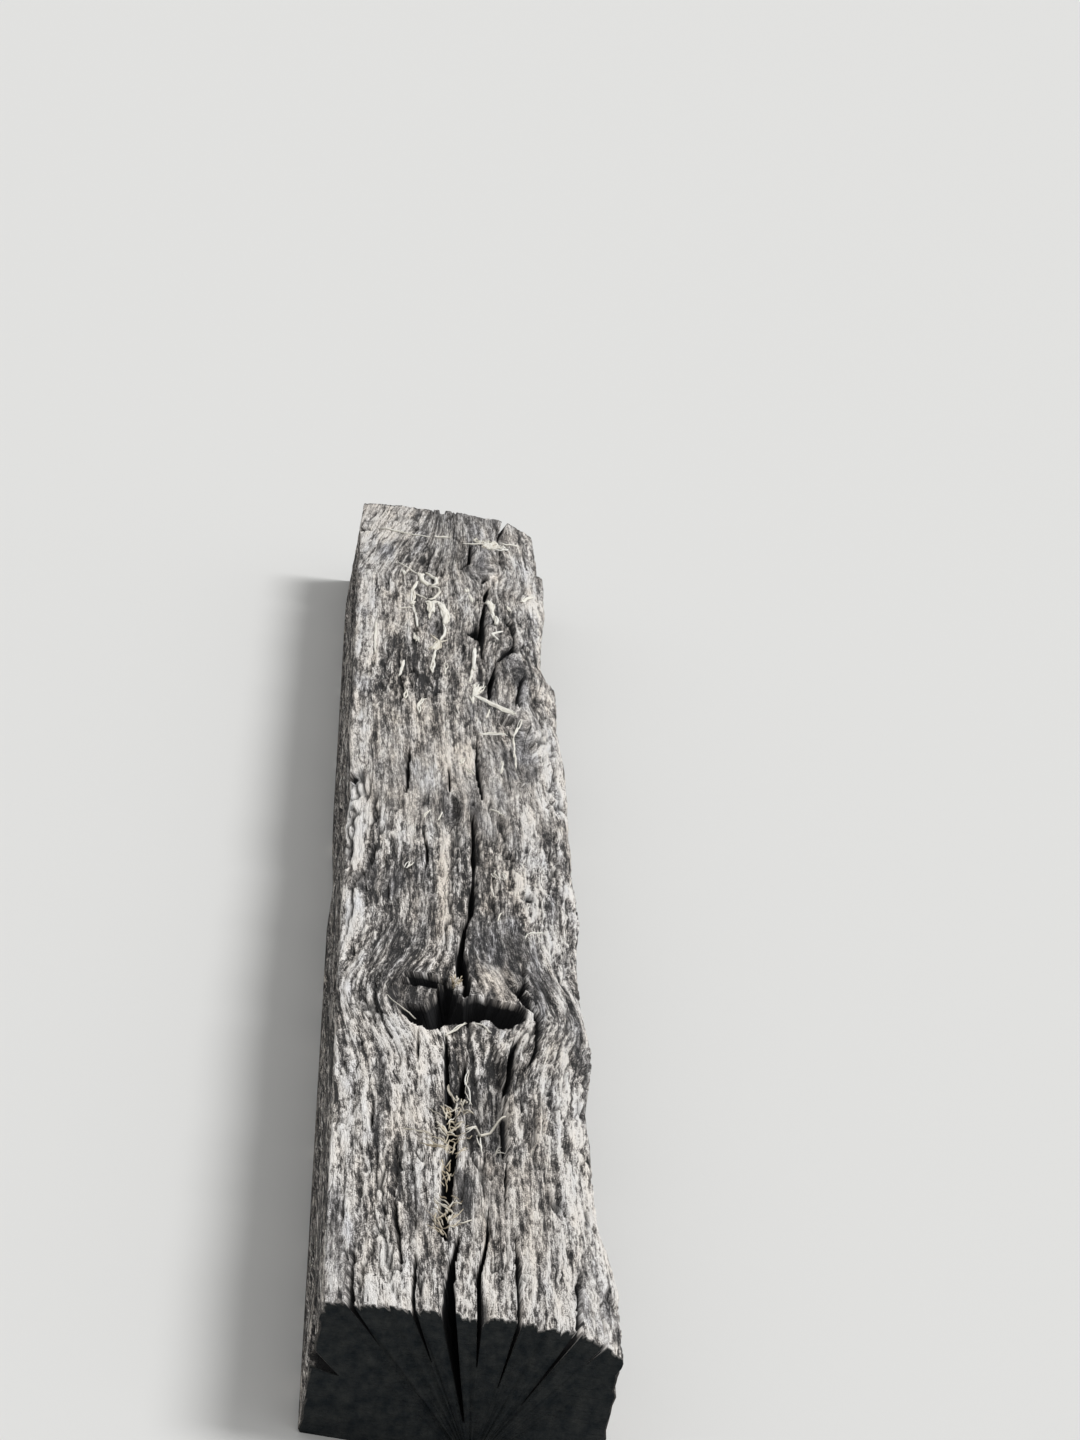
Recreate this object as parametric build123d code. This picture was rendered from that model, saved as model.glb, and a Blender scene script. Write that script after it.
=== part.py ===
from build123d import *
import math
import os

# An old sawn railway sleeper, one baulk of timber lying on its bed face.
# X runs along the grain, Y across, Z up. Millimetres.
# Along the length a place is given as its distance from the nearer, cracked end.
# Across, it is given from the middle line, positive to the left of someone looking
# along the length from that end.

# Sawn size, 8 ft 6 in by 10 in by 5 in
LENGTH = 2590.0
WIDTH = 254.0
HEIGHT = 127.0

# Size of the timber that the places below were read on. On a timber of another
# size each place keeps its share of the length and of the width.
READ_LENGTH = 2590.0
READ_WIDTH = 254.0

# Weathered top: highest along a ridge line, falling away to both arrises
RIDGE_OFFSET = -58.0
LEFT_FALL = 11.0
RIGHT_FALL = 19.0
BED_ARRIS = 3.0

# Centre of growth of the tree, which every check points to
PITH_OFFSET = -16.0
PITH_LEVEL = -5.0

# The cutters stand clear of the wood above the top and beyond the ends
CLEAR = 8.0

# Stretches where an arris is worn or rotted inwards: start, deepest place, finish, depth
RIGHT_WORN = (
    (-300, 0, 260, 6),
    (90, 330, 620, 18),
    (400, 540, 700, 11),
    (600, 820, 1090, 12),
    (1120, 1200, 1400, 6),
    (1560, 1650, 1740, 5),
    (1866, 1878, 2320, 9),
    (1880, 1935, 2260, 7),
    (2382, 2390, 2900, 7),
    (2480, 2600, 2720, 4),
)
LEFT_WORN = (
    (1170, 1335, 1460, 5),
    (2420, 2640, 2860, 5),
)
BAY = 130.0
STEP_STATIONS = (1866.0, 1878.0, 2382.0, 2390.0)

# Checks that open in the nearer end face: distance, offset, width and depth along each
END_CHECKS = (
    ((-CLEAR, 27, 10, 95), (27, 26.5, 9, 84), (59, 25.5, 7, 70), (99, 23, 5, 50),
     (127, 19.7, 3.4, 30), (160, 16, 0.6, 8)),
    ((-CLEAR, 1, 3, 45), (90, -0.6, 2.4, 30), (124, -5, 2, 24), (165, -9, 2, 18), (218, -10, 0.8, 6)),
    ((-CLEAR, -32, 3, 62), (80, -33, 2.4, 40), (165, -33, 0.8, 8)),
    ((-CLEAR, -80, 3, 74), (40, -82.5, 3, 40), (74, -84, 4, 20), (92, -85, 6, 16),
     (109, -86, 3, 10), (122, -87, 0.8, 4)),
    ((-CLEAR, 55.6, 2.4, 45), (60, 55.5, 2, 25), (115, 54, 0.8, 6)),
    ((-CLEAR, 106.6, 2.4, 35), (60, 106.5, 2, 18), (120, 104, 0.8, 5)),
    ((-CLEAR, -104, 2, 24), (70, -104.5, 1.6, 12), (137, -105, 0.8, 4)),
)

# The long check filled with litter, the splits round the sunken strip and others near them
STRIP_CHECKS = (
    ((140, 26, 1, 6), (160, 30, 7, 18), (200, 28, 10, 24), (290, 25, 11, 26), (330, 20, 9, 24),
     (350, 17, 2, 10)),
    ((334, 19, 2, 12), (350, 20, 10, 26), (421, 22, 9, 28), (470, 23, 7, 28), (500, 24, 4, 26),
     (560, 24.4, 3, 26), (609, 24, 1, 10)),
    ((350, -29, 2.6, 10), (371, -30, 4, 22), (437, -30.5, 4, 22), (460, -31, 1.2, 8)),
    ((480, -32, 1, 6), (500, -33.5, 4, 24), (531, -36.5, 5, 32), (577, -40, 6, 34),
     (600, -42, 5, 24), (625, -48, 1, 8)),
    ((464, 10, 2, 10), (478, 11, 9, 34), (510, 8.5, 9, 40), (534, 7, 5, 28), (578, 3.5, 1, 8)),
    ((215, -25, 0.8, 6), (287, -27, 2, 15), (322, -29, 1.6, 12)),
    ((88, 66, 1, 6), (130, 67.5, 2.6, 14), (175, 70, 2.2, 12), (210, 71, 0.8, 5)),
    ((355, 92, 0.8, 5), (390, 93.5, 3.6, 14), (425, 92, 0.8, 5)),
    ((531, 51, 0.8, 4), (570, 51, 1.8, 12), (609, 50.5, 0.8, 4)),
)

# The long main check from the knot hole to the middle, in three stretches
MAIN_MOUTH = (
    (712, 8, 14, 30),
    (745, 8, 21, 44),
    (768, 6, 12, 46),
    (800, 6.5, 11, 46),
    (830, 7.5, 6, 38),
    (845, 6.2, 5.4, 34),
)
MAIN_CHECK = (
    ((835, 7, 5.6, 34), (860, 5, 5, 30), (900, 2.5, 3.5, 24), (935, -3, 3, 18)),
    ((920, -1.5, 2, 14), (945, -5, 4, 24), (985, -6.5, 6, 30), (1012, -7.5, 4.5, 26),
     (1050, -9.5, 2.4, 14)),
    ((1040, -9.5, 2, 12), (1090, -10, 2.5, 14), (1125, -10.5, 8, 30), (1150, -11.5, 4, 24),
     (1250, -12, 2.6, 16), (1275, -13, 0.8, 5)),
)

# The split that bends round the right of the knot hole with the grain
KNOT_RING_CHECK = (
    (545, -50, 1, 6),
    (577, -60, 3, 14),
    (609, -65, 4, 20),
    (640, -67, 4, 22),
    (671, -69.5, 5, 26),
    (690, -67.5, 7, 30),
    (702, -62, 9, 34),
    (726, -55, 13, 38),
    (747, -51, 9, 34),
    (771, -59, 3, 18),
    (820, -56, 1, 6),
)

# Checks of the middle stretch
MIDDLE_CHECKS = (
    ((1060, 43, 0.8, 5), (1100, 40, 2.6, 16), (1144, 41, 2.2, 12), (1190, 45, 0.8, 5)),
    ((1314, 63, 0.8, 6), (1340, 62, 3.4, 22), (1400, 61.5, 3.8, 26), (1450, 60, 2.4, 16),
     (1475, 59, 0.8, 6)),
    ((1332, 13.8, 0.8, 6), (1360, 13.5, 2, 16), (1400, 14, 1.8, 14), (1430, 15, 0.8, 5)),
    ((1317, -23.5, 0.8, 6), (1345, -23, 4, 20), (1395, -20.5, 5, 26), (1457, -19, 2.8, 16),
     (1560, -21, 0.8, 5)),
    ((1365, -72, 0.8, 6), (1393, -72, 2.4, 16), (1420, -71.5, 0.8, 6)),
)

# Open splits of the rotten stretch towards the far end
ROT_CHECKS = (
    ((1700, -75, 1, 8), (1725, -75.5, 4, 20), (1777, -77, 4, 22), (1828, -83, 4, 18), (1850, -88, 1, 6)),
    ((1708, -37, 1, 6), (1725, -39, 5, 22), (1777, -41, 7, 30), (1821, -46.5, 5, 24), (1846, -48, 2, 12)),
    ((1835, -47.5, 2, 12), (1872, -50, 3, 16), (1912, -61, 4.5, 22), (1929, -66, 8, 28),
     (1947, -72, 9, 30), (1972, -77, 3.5, 22)),
    ((1960, -75.5, 3, 18), (2004, -78, 4.5, 24), (2035, -76, 8, 32), (2066, -72, 9, 32),
     (2095, -62, 1.5, 8)),
    ((1702, 30, 1, 3), (1708, 24, 5, 8), (1722, 12, 5, 9), (1734, 4, 1, 3)),
    ((1875, -32, 1, 6), (1900, -32, 3, 16), (1960, -34, 5, 24), (2005, -35, 7, 30),
     (2057, -36, 6, 30), (2110, -39, 5, 26), (2140, -41, 2, 12)),
    ((2130, -40, 2, 12), (2175, -41, 6, 28), (2208, -46, 4, 20), (2224, -47, 1, 6)),
    ((2230, -38, 1, 8), (2245, -39.5, 3, 18), (2257, -43, 9, 24), (2270, -44, 1.5, 6)),
    ((2284, -11, 1.5, 6), (2299, -9.5, 6, 16), (2312, -14, 5, 16), (2325, -21, 4, 18),
     (2345, -22.5, 4.5, 22), (2411, -24.7, 3, 16), (2450, -25.6, 0.8, 6)),
    ((2320, -70, 0.8, 5), (2350, -67, 2, 12), (2430, -66, 2.2, 14), (2490, -66, 1, 8)),
    ((2478, -65, 1, 6), (2512, -68, 3, 20), (2544, -72.5, 5, 34), (READ_LENGTH + CLEAR, -77, 7, 52)),
)

# Sunken strips with a flat floor, where the wood has broken or rotted away
SUNKEN_STRIPS = (
    ((334, -11, 36, 11), (380, -12, 38, 14), (450, -11, 42, 14), (480, -4, 52, 12),
     (540, -4, 54, 9), (600, 2, 48, 5), (622, 5, 40, 2)),
    ((1219, 12, 8, 3), (1228, 11.5, 13, 7), (1260, 12, 19, 8), (1285, 14, 21, 8),
     (1310, 14, 12, 5), (1326, 14.5, 3, 1.5)),
    ((1415, -70, 18, 2), (1460, -72, 34, 5), (1520, -76, 34, 8), (1580, -78, 26, 8),
     (1640, -79, 18, 7), (1690, -82, 7, 2)),
    ((1956, 27, 4, 1.5), (1975, 27, 12, 5), (2005, 28, 15, 6), (2024, 29, 5, 1.5)),
    ((672, 60, 26, 5), (686, 59, 42, 12), (704, 56, 46, 10), (722, 52, 44, 8), (742, 50, 38, 6.5)),
)
STRIP_FLOOR = 0.86
CHECK_FLOOR = 0.14

# Rotted pockets: distance, offset, half length, half width, depth, turn in degrees
POCKETS = (
    (329, -24, 11, 6, 12, -15),
    (1025, -69, 17, 5, 7, 0),
    (1140, -49, 13, 5, 9, 4),
    (1267, 71, 12, 8, 4, 0),
    (1350, 120, 17, 6, 9, 0),
    (1356, -101, 9, 5, 8, -20),
    (1632, -56, 17, 9, 18, -12),
    (1687, 66.5, 13, 4, 14, 0),
    (1680, 46, 10, 5, 8, -40),
    (1788, 57, 11, 4, 10, 0),
    (1985, -25, 31, 10, 30, 3),
    (1969, 51, 7, 5, 10, 0),
    (2152, -50, 8, 9, 14, 0),
    (2326, 122, 8, 5, 8, 0),
    (2582, 13, 15, 5, 14, 0),
)

# The knot hole: rotted-out lobes that run into one another round the heart of the knot
KNOT_LOBES = (
    (704, 27, 37, 13, 46, -20),
    (677, -23, 38, 32, 60, 6),
    (748, 42, 9, 25, 38, -8),
    (661, 42, 44, 29, 50, 9),
    (672, 8, 38, 17, 55, 0),
)

# Wood left standing in the hole: distance, offset, half length, half width, drop below the top
KNOT_STUB = (652, -21, 19, 11, 7)
KNOT_SPLINTER = (745, 9.5, 23, 5.5, 3)
KNOT_HEARTS = (KNOT_STUB, KNOT_SPLINTER)
HEART_FOOT_LEVEL = 12.0
HEART_FOOT_SPREAD = 1.3

# Shape of every pocket's outline, and how much it narrows half way down and at its floor
POCKET_POINTS = 12
POCKET_WAVE = 0.10
POCKET_WAVE_COUNT = 3
POCKET_MID_TAPER = 0.90
POCKET_TAPER = 0.58

# Checks in the left side face: distance, level, width, depth
SIDE_CHECKS = (
    ((-CLEAR, 66, 3, 26), (180, 69, 2.4, 16), (430, 72, 0.8, 4)),
    ((520, 92, 0.8, 4), (760, 94, 2.6, 14), (1010, 93, 0.8, 4)),
    ((1180, 58, 0.8, 4), (1500, 61, 3, 18), (1860, 60, 0.8, 4)),
    ((1980, 84, 0.8, 4), (2240, 82, 2.6, 15), (2470, 83, 0.8, 4)),
)

# A corner broken out of the left arris near the far end
NOTCH_PLACE = 2441.0
NOTCH_LENGTH = 15.0
NOTCH_REACH = 14.0
NOTCH_DEPTH = 14.0
NOTCH_TIP = 35.0
NOTCH_TURN = 18.0


def along(distance):
    """Turn a distance from the nearer end into X."""
    return LENGTH * (distance / READ_LENGTH - 0.5)


def across(offset):
    """Turn a read offset from the middle line into Y."""
    return WIDTH * offset / READ_WIDTH


def worn(distance, stretches):
    """Depth an arris is worn inwards here."""
    total = 0.0
    for start, deepest, finish, depth in stretches:
        if start < distance <= deepest:
            share = (distance - start) / (deepest - start)
            total += depth * (1 - math.cos(math.pi * share)) / 2
        elif deepest < distance < finish:
            share = (distance - deepest) / (finish - deepest)
            total += depth * (1 + math.cos(math.pi * share)) / 2
    return total


def edges(distance):
    """Y of the left and right side faces here."""
    left = WIDTH / 2 - worn(distance, LEFT_WORN)
    right = -WIDTH / 2 + worn(distance, RIGHT_WORN)
    return left, right


def surface_level(distance, y):
    """Height of the weathered top at a distance along it and a Y across it."""
    left, right = edges(min(max(distance, 0.0), READ_LENGTH))
    ridge = across(RIDGE_OFFSET)
    if y > ridge:
        return HEIGHT - LEFT_FALL * ((y - ridge) / (left - ridge)) ** 2
    return HEIGHT - RIGHT_FALL * ((ridge - y) / (ridge - right)) ** 2


def cross_section(distance):
    """Face across the timber at one distance along it."""
    left, right = edges(distance)
    x = along(distance)
    ridge_y = across(RIDGE_OFFSET)
    ridge = (x, ridge_y, HEIGHT)
    left_arris = (x, left, HEIGHT - LEFT_FALL)
    right_arris = (x, right, HEIGHT - RIGHT_FALL)
    left_crown = Bezier(left_arris, (x, (left + ridge_y) / 2, HEIGHT), ridge)
    right_crown = Bezier(ridge, (x, (right + ridge_y) / 2, HEIGHT), right_arris)
    rest = Polyline(
        right_arris,
        (x, right, BED_ARRIS),
        (x, right + BED_ARRIS, 0),
        (x, left - BED_ARRIS, 0),
        (x, left, BED_ARRIS),
        left_arris,
    )
    return make_face(left_crown.edges() + right_crown.edges() + rest.edges())


def baulk():
    """The whole timber before it cracked and rotted."""
    bays = round(READ_LENGTH / BAY)
    stations = [READ_LENGTH * i / bays for i in range(bays + 1)]
    stations += [distance for distance in STEP_STATIONS if distance < READ_LENGTH]
    return loft([cross_section(distance) for distance in sorted(stations)], ruled=True)


def trough(stations, floor_share):
    """Cutter for a check or a sunken strip, leaning to the pith."""
    sections = []
    for distance, offset, width, depth in stations:
        x = along(distance)
        y = across(offset)
        surface = surface_level(distance, y)
        lean = (across(PITH_OFFSET) - y) / (surface - PITH_LEVEL)
        rise = HEIGHT + CLEAR - surface
        half_floor = width * floor_share / 2
        half_top = half_floor + (width / 2 - half_floor) * (depth + rise) / depth
        middle_top = y - lean * rise
        middle_floor = y + lean * depth
        ring = Polyline(
            (x, middle_top - half_top, surface + rise),
            (x, middle_top + half_top, surface + rise),
            (x, middle_floor + half_floor, surface - depth),
            (x, middle_floor - half_floor, surface - depth),
            close=True,
        )
        sections.append(make_face(ring.edges()))
    return loft(sections, ruled=True)


def side_trough(stations):
    """Cutter for a check in the left side face, leaning to the pith."""
    sections = []
    for distance, level, width, depth in stations:
        x = along(distance)
        face = edges(min(max(distance, 0.0), READ_LENGTH))[0]
        lean = (PITH_LEVEL - level) / (face - across(PITH_OFFSET))
        half_floor = width * CHECK_FLOOR / 2
        half_mouth = half_floor + (width / 2 - half_floor) * (depth + CLEAR) / depth
        mouth_level = level - lean * CLEAR
        floor_level = level + lean * depth
        ring = Polyline(
            (x, face + CLEAR, mouth_level - half_mouth),
            (x, face + CLEAR, mouth_level + half_mouth),
            (x, face - depth, floor_level + half_floor),
            (x, face - depth, floor_level - half_floor),
            close=True,
        )
        sections.append(make_face(ring.edges()))
    return loft(sections, ruled=True)


def wavy_outline(distance, offset, half_length, half_width, turn, level):
    """Wavy closed outline of a rotted pocket or a piece left in one, at one level."""
    points = []
    bend = math.radians(turn)
    for i in range(POCKET_POINTS):
        angle = 2 * math.pi * i / POCKET_POINTS
        reach = 1 + POCKET_WAVE * math.sin(POCKET_WAVE_COUNT * angle + math.radians(distance))
        u = half_length * reach * math.cos(angle)
        v = half_width * reach * math.sin(angle)
        x = along(distance) + u * math.cos(bend) - v * math.sin(bend)
        y = across(offset) + u * math.sin(bend) + v * math.cos(bend)
        points.append((x, y, level))
    return make_face(Spline(*points, periodic=True).edges())


def pocket(distance, offset, half_length, half_width, depth, turn):
    """Cutter for a rotted pocket that narrows as it goes down."""
    surface = surface_level(distance, across(offset))
    levels = (
        (HEIGHT + CLEAR, 1.0),
        (surface - depth / 2, POCKET_MID_TAPER),
        (surface - depth, POCKET_TAPER),
    )
    outlines = [
        wavy_outline(distance, offset, half_length * share, half_width * share, turn, level)
        for level, share in levels
    ]
    return loft(outlines, ruled=True)


def heart(distance, offset, half_length, half_width, drop):
    """A piece of the knot's hard wood left standing in the hole."""
    top = surface_level(distance, across(offset)) - drop
    spread = HEART_FOOT_SPREAD
    foot = wavy_outline(distance, offset, half_length * spread, half_width * spread, 0, HEART_FOOT_LEVEL)
    head = wavy_outline(distance, offset, half_length, half_width, 0, top)
    return loft([foot, head], ruled=True)


def knot_hole():
    """Cutter for the knot hole and the mouth of the main check, round the hearts left in it."""
    hole = trough(MAIN_MOUTH, CHECK_FLOOR)
    for lobe in KNOT_LOBES:
        hole += pocket(*lobe)
    for piece in KNOT_HEARTS:
        hole -= heart(*piece)
    return hole


def notch():
    """Cutter for the corner broken out of the left arris."""
    left = edges(NOTCH_PLACE)[0]
    level = surface_level(NOTCH_PLACE, left - NOTCH_REACH / 2)
    mouth = Box(NOTCH_LENGTH, NOTCH_REACH * 2, NOTCH_DEPTH * 2)
    return Pos(along(NOTCH_PLACE), left, level) * (Rot(NOTCH_TIP, 0, NOTCH_TURN) * mouth)


def sleeper():
    """The sleeper with its checks, sunken strips, pockets and knot hole."""
    wood = baulk()
    cutters = [trough(stations, STRIP_FLOOR) for stations in SUNKEN_STRIPS]
    groups = (END_CHECKS, STRIP_CHECKS, MAIN_CHECK, MIDDLE_CHECKS, ROT_CHECKS)
    for group in groups:
        cutters += [trough(stations, CHECK_FLOOR) for stations in group]
    cutters.append(trough(KNOT_RING_CHECK, CHECK_FLOOR))
    cutters += [side_trough(stations) for stations in SIDE_CHECKS]
    cutters += [pocket(*values) for values in POCKETS]
    cutters.append(knot_hole())
    cutters.append(notch())
    for cutter in cutters:
        wood = wood - cutter
    return wood


part = sleeper()
os.makedirs("parts", exist_ok=True)
export_step(part, "parts/sleeper.step")
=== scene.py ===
"""Looks of an old timber railway sleeper: weathered wood, litter in its splits, studio and camera."""
import logging
import math
from dataclasses import dataclass, field
from enum import Enum

import bmesh
import bpy
import numpy as np
from mathutils import Matrix, Vector
from mathutils.bvhtree import BVHTree


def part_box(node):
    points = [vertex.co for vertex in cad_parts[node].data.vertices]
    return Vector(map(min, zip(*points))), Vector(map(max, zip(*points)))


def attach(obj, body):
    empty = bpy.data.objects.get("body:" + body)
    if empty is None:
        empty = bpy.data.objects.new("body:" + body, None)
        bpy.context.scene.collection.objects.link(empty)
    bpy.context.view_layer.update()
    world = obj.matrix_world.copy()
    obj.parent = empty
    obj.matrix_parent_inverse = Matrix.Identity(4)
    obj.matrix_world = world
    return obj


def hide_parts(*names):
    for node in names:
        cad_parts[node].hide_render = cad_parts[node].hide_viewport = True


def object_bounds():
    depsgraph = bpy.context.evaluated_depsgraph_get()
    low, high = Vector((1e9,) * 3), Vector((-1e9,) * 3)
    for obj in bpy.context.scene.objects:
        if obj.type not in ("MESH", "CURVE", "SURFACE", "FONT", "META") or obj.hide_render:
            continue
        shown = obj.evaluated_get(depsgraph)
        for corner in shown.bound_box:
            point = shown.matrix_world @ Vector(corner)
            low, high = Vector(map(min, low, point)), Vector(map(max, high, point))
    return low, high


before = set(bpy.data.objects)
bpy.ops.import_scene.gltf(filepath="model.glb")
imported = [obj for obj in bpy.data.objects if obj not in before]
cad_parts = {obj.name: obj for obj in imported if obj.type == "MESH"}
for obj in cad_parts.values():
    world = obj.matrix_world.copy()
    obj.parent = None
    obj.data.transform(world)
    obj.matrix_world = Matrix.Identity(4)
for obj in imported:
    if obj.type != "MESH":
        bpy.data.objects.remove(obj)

LOG = logging.getLogger("sleeper")
CAD_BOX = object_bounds()
MM = 0.001
NODE = "sleeper"
SPECULAR_LEVEL = 0.25


def smooth_step(low: float, high: float, value: np.ndarray) -> np.ndarray:
    """Rise smoothly from 0 to 1 between two limits.

    Args:
        low: Value at and below which the result is 0.
        high: Value at and above which the result is 1.
        value: Values to shape.

    Returns:
        The shaped values.
    """
    share = np.clip((value - low) / (high - low), 0.0, 1.0)
    return share * share * (3.0 - 2.0 * share)


def search_tree(mesh: bpy.types.Mesh, weld: float = 0.0) -> BVHTree:
    """Search tree over the faces of a mesh.

    Args:
        mesh: The mesh.
        weld: Distance in metres within which points count as one, or 0 to leave them.

    Returns:
        The tree, in metres.
    """
    shape = bmesh.new()
    shape.from_mesh(mesh)
    if weld:
        bmesh.ops.remove_doubles(shape, verts=shape.verts, dist=weld)
    tree = BVHTree.FromBMesh(shape)
    shape.free()
    return tree


def link_object(name: str, data: bpy.types.ID) -> bpy.types.Object:
    """Add an object to the scene.

    Args:
        name: Name of the object.
        data: Its mesh, light or camera.

    Returns:
        The object, at the origin of the frame.
    """
    made = bpy.data.objects.new(name, data)
    bpy.context.scene.collection.objects.link(made)
    return made


def place_shape(name: str, shape: bmesh.types.BMesh) -> bpy.types.Object:
    """Turn a finished shape into an object of the scene.

    Args:
        name: Name of the object and of its mesh.
        shape: The shape, which is freed.

    Returns:
        The object, at the origin of the frame.
    """
    mesh = bpy.data.meshes.new(name)
    shape.to_mesh(mesh)
    shape.free()
    return link_object(name, mesh)


@dataclass(frozen=True)
class Lattice:
    """Smooth seeded noise on a lattice, from -1 to 1.

    along and across are the sizes of one lattice step.
    """

    seed: int
    along: float = 1.0
    across: float = 1.0

    def _corner(self, i: np.ndarray, j: np.ndarray) -> np.ndarray:
        """Random value of each lattice corner.

        Args:
            i: Whole lattice steps along the first way.
            j: Whole lattice steps along the second way.

        Returns:
            One value from -1 to 1 for each corner.
        """
        mix = i.astype(np.int64) * 374761393 + j.astype(np.int64) * 668265263 + self.seed * 1274126177
        mix = (mix ^ (mix >> 13)) * 1103515245 & 0xFFFFFFFF
        mix = (mix ^ (mix >> 16)) * 2246822519 & 0xFFFFFFFF
        return ((mix ^ (mix >> 15)) & 0xFFFFFF) / float(0x7FFFFF) - 1.0

    def at(self, first: np.ndarray, second: np.ndarray) -> np.ndarray:
        """Noise at the places given.

        Args:
            first: Places along the first way.
            second: Places along the second way.

        Returns:
            Smooth values from -1 to 1.
        """
        u, v = first / self.along, second / self.across
        i, j = np.floor(u), np.floor(v)
        fu, fv = u - i, v - j
        fu = fu * fu * (3 - 2 * fu)
        fv = fv * fv * (3 - 2 * fv)
        low = self._corner(i, j) * (1 - fu) + self._corner(i + 1, j) * fu
        high = self._corner(i, j + 1) * (1 - fu) + self._corner(i + 1, j + 1) * fu
        return low * (1 - fv) + high * fv


@dataclass(frozen=True)
class Swirl:
    """A place that the fibres pass round, as they do at a knot.

    Sizes are in millimetres. distance is from the cracked near end and offset is
    across from the middle, positive to the left.
    """

    distance: float
    offset: float
    half_length: float
    half_width: float
    strength: float

    def bend(self, distance: np.ndarray, offset: np.ndarray) -> np.ndarray:
        """How far the fibre at each place has been pushed aside.

        Args:
            distance: Distances from the near end.
            offset: Offsets across the timber.

        Returns:
            Shift of the fibre coordinate in millimetres.
        """
        along = ((distance - self.distance) / self.half_length) ** 2
        aside = offset - self.offset
        return -self.strength * aside * np.exp(-along - (aside / self.half_width) ** 2)


@dataclass
class Grain:
    """Run of the fibres over the timber.

    wander is how far they stray in millimetres. Past far_start those on the left run
    inward by far_slant of the way on.
    """

    swirls: tuple[Swirl, ...] = (
        Swirl(705, 2, 95, 108, 0.55),
        Swirl(610, 0, 140, 105, 0.20),
        Swirl(1632, -74, 90, 28, 0.75),
        Swirl(1880, -74, 70, 30, 0.60),
        Swirl(2310, -46, 70, 34, 0.80),
        Swirl(1270, 12, 60, 14, 0.60),
        Swirl(2000, 28, 50, 12, 0.50),
    )
    wander: float = 5.0
    far_slant: float = 0.16
    far_start: float = 2220.0

    def fibre(self, distance: np.ndarray, offset: np.ndarray) -> np.ndarray:
        """Coordinate that stays the same along one fibre.

        Args:
            distance: Distances from the near end, in millimetres.
            offset: Offsets across, measured round the section, in millimetres.

        Returns:
            The fibre coordinate in millimetres.
        """
        bent = offset + self.wander * Lattice(11, 420, 150).at(distance, offset)
        bent = bent + 1.3 * Lattice(12, 70, 24).at(distance, offset)
        for swirl in self.swirls:
            bent = bent + swirl.bend(distance, offset)
        slant = self.far_slant * smooth_step(-20.0, 40.0, offset)
        return bent + slant * np.maximum(distance - self.far_start, 0.0)


@dataclass(frozen=True)
class Patch:
    """A stretch of the top that has weathered its own way.

    start and finish are distances from the near end, left and right are offsets, all
    in millimetres. tone runs from -1, dark, to 1, bleached. warmth runs from -1,
    blue-grey, to 1, brown. contrast is 0 where the wood is plain and 1 where bleached
    fibres stand over grooves that the finish darkens with painted shade. end_fade and
    side_fade are how far the ends and the sides fade out, which is never more than
    fade_share of the patch.
    """

    start: float
    finish: float
    left: float
    right: float
    tone: float
    warmth: float
    contrast: float
    end_fade: float = 26.0
    side_fade: float = 7.0
    fade_share: float = 0.35

    def share(self, distance: np.ndarray, offset: np.ndarray) -> np.ndarray:
        """How much of the patch each place has, with ragged edges along the fibres.

        Args:
            distance: Distances from the near end.
            offset: Offsets across the timber.

        Returns:
            Values from 0 to 1.
        """
        ends = min(self.end_fade, (self.finish - self.start) * self.fade_share)
        sides = min(self.side_fade, (self.left - self.right) * self.fade_share)
        ragged = 20.0 * Lattice(41, 55, 3.4).at(distance, offset)
        ragged = ragged + 8.0 * Lattice(42, 18, 2).at(distance, offset)
        aside = 2.2 * Lattice(43, 34, 14).at(distance, offset)
        near = smooth_step(-ends, ends, distance + ragged - self.start)
        far = smooth_step(-ends, ends, self.finish - distance + ragged)
        low = smooth_step(-sides, sides, offset + aside - self.right)
        high = smooth_step(-sides, sides, self.left - offset - aside)
        return near * far * low * high


@dataclass(frozen=True)
class Shelf:
    """An open sunken floor, which light reaches and which isn't black.

    start and finish are distances from the near end, left and right are offsets, lit
    is the depth down to which light reaches, and end_rim and side_rim are half the
    widths over which it begins at the ends and the sides, all in millimetres.
    """

    start: float
    finish: float
    left: float
    right: float
    lit: float
    end_rim: float = 2.0
    side_rim: float = 1.5

    def allowance(self, distance: np.ndarray, offset: np.ndarray) -> np.ndarray:
        """Depth that doesn't count as dark at each place.

        Args:
            distance: Distances from the near end.
            offset: Offsets across the timber.

        Returns:
            Depths in millimetres.
        """
        near = smooth_step(-self.end_rim, self.end_rim, distance - self.start)
        far = smooth_step(-self.end_rim, self.end_rim, self.finish - distance)
        low = smooth_step(-self.side_rim, self.side_rim, offset - self.right)
        high = smooth_step(-self.side_rim, self.side_rim, self.left - offset)
        return self.lit * (near * far) * (low * high)


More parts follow.
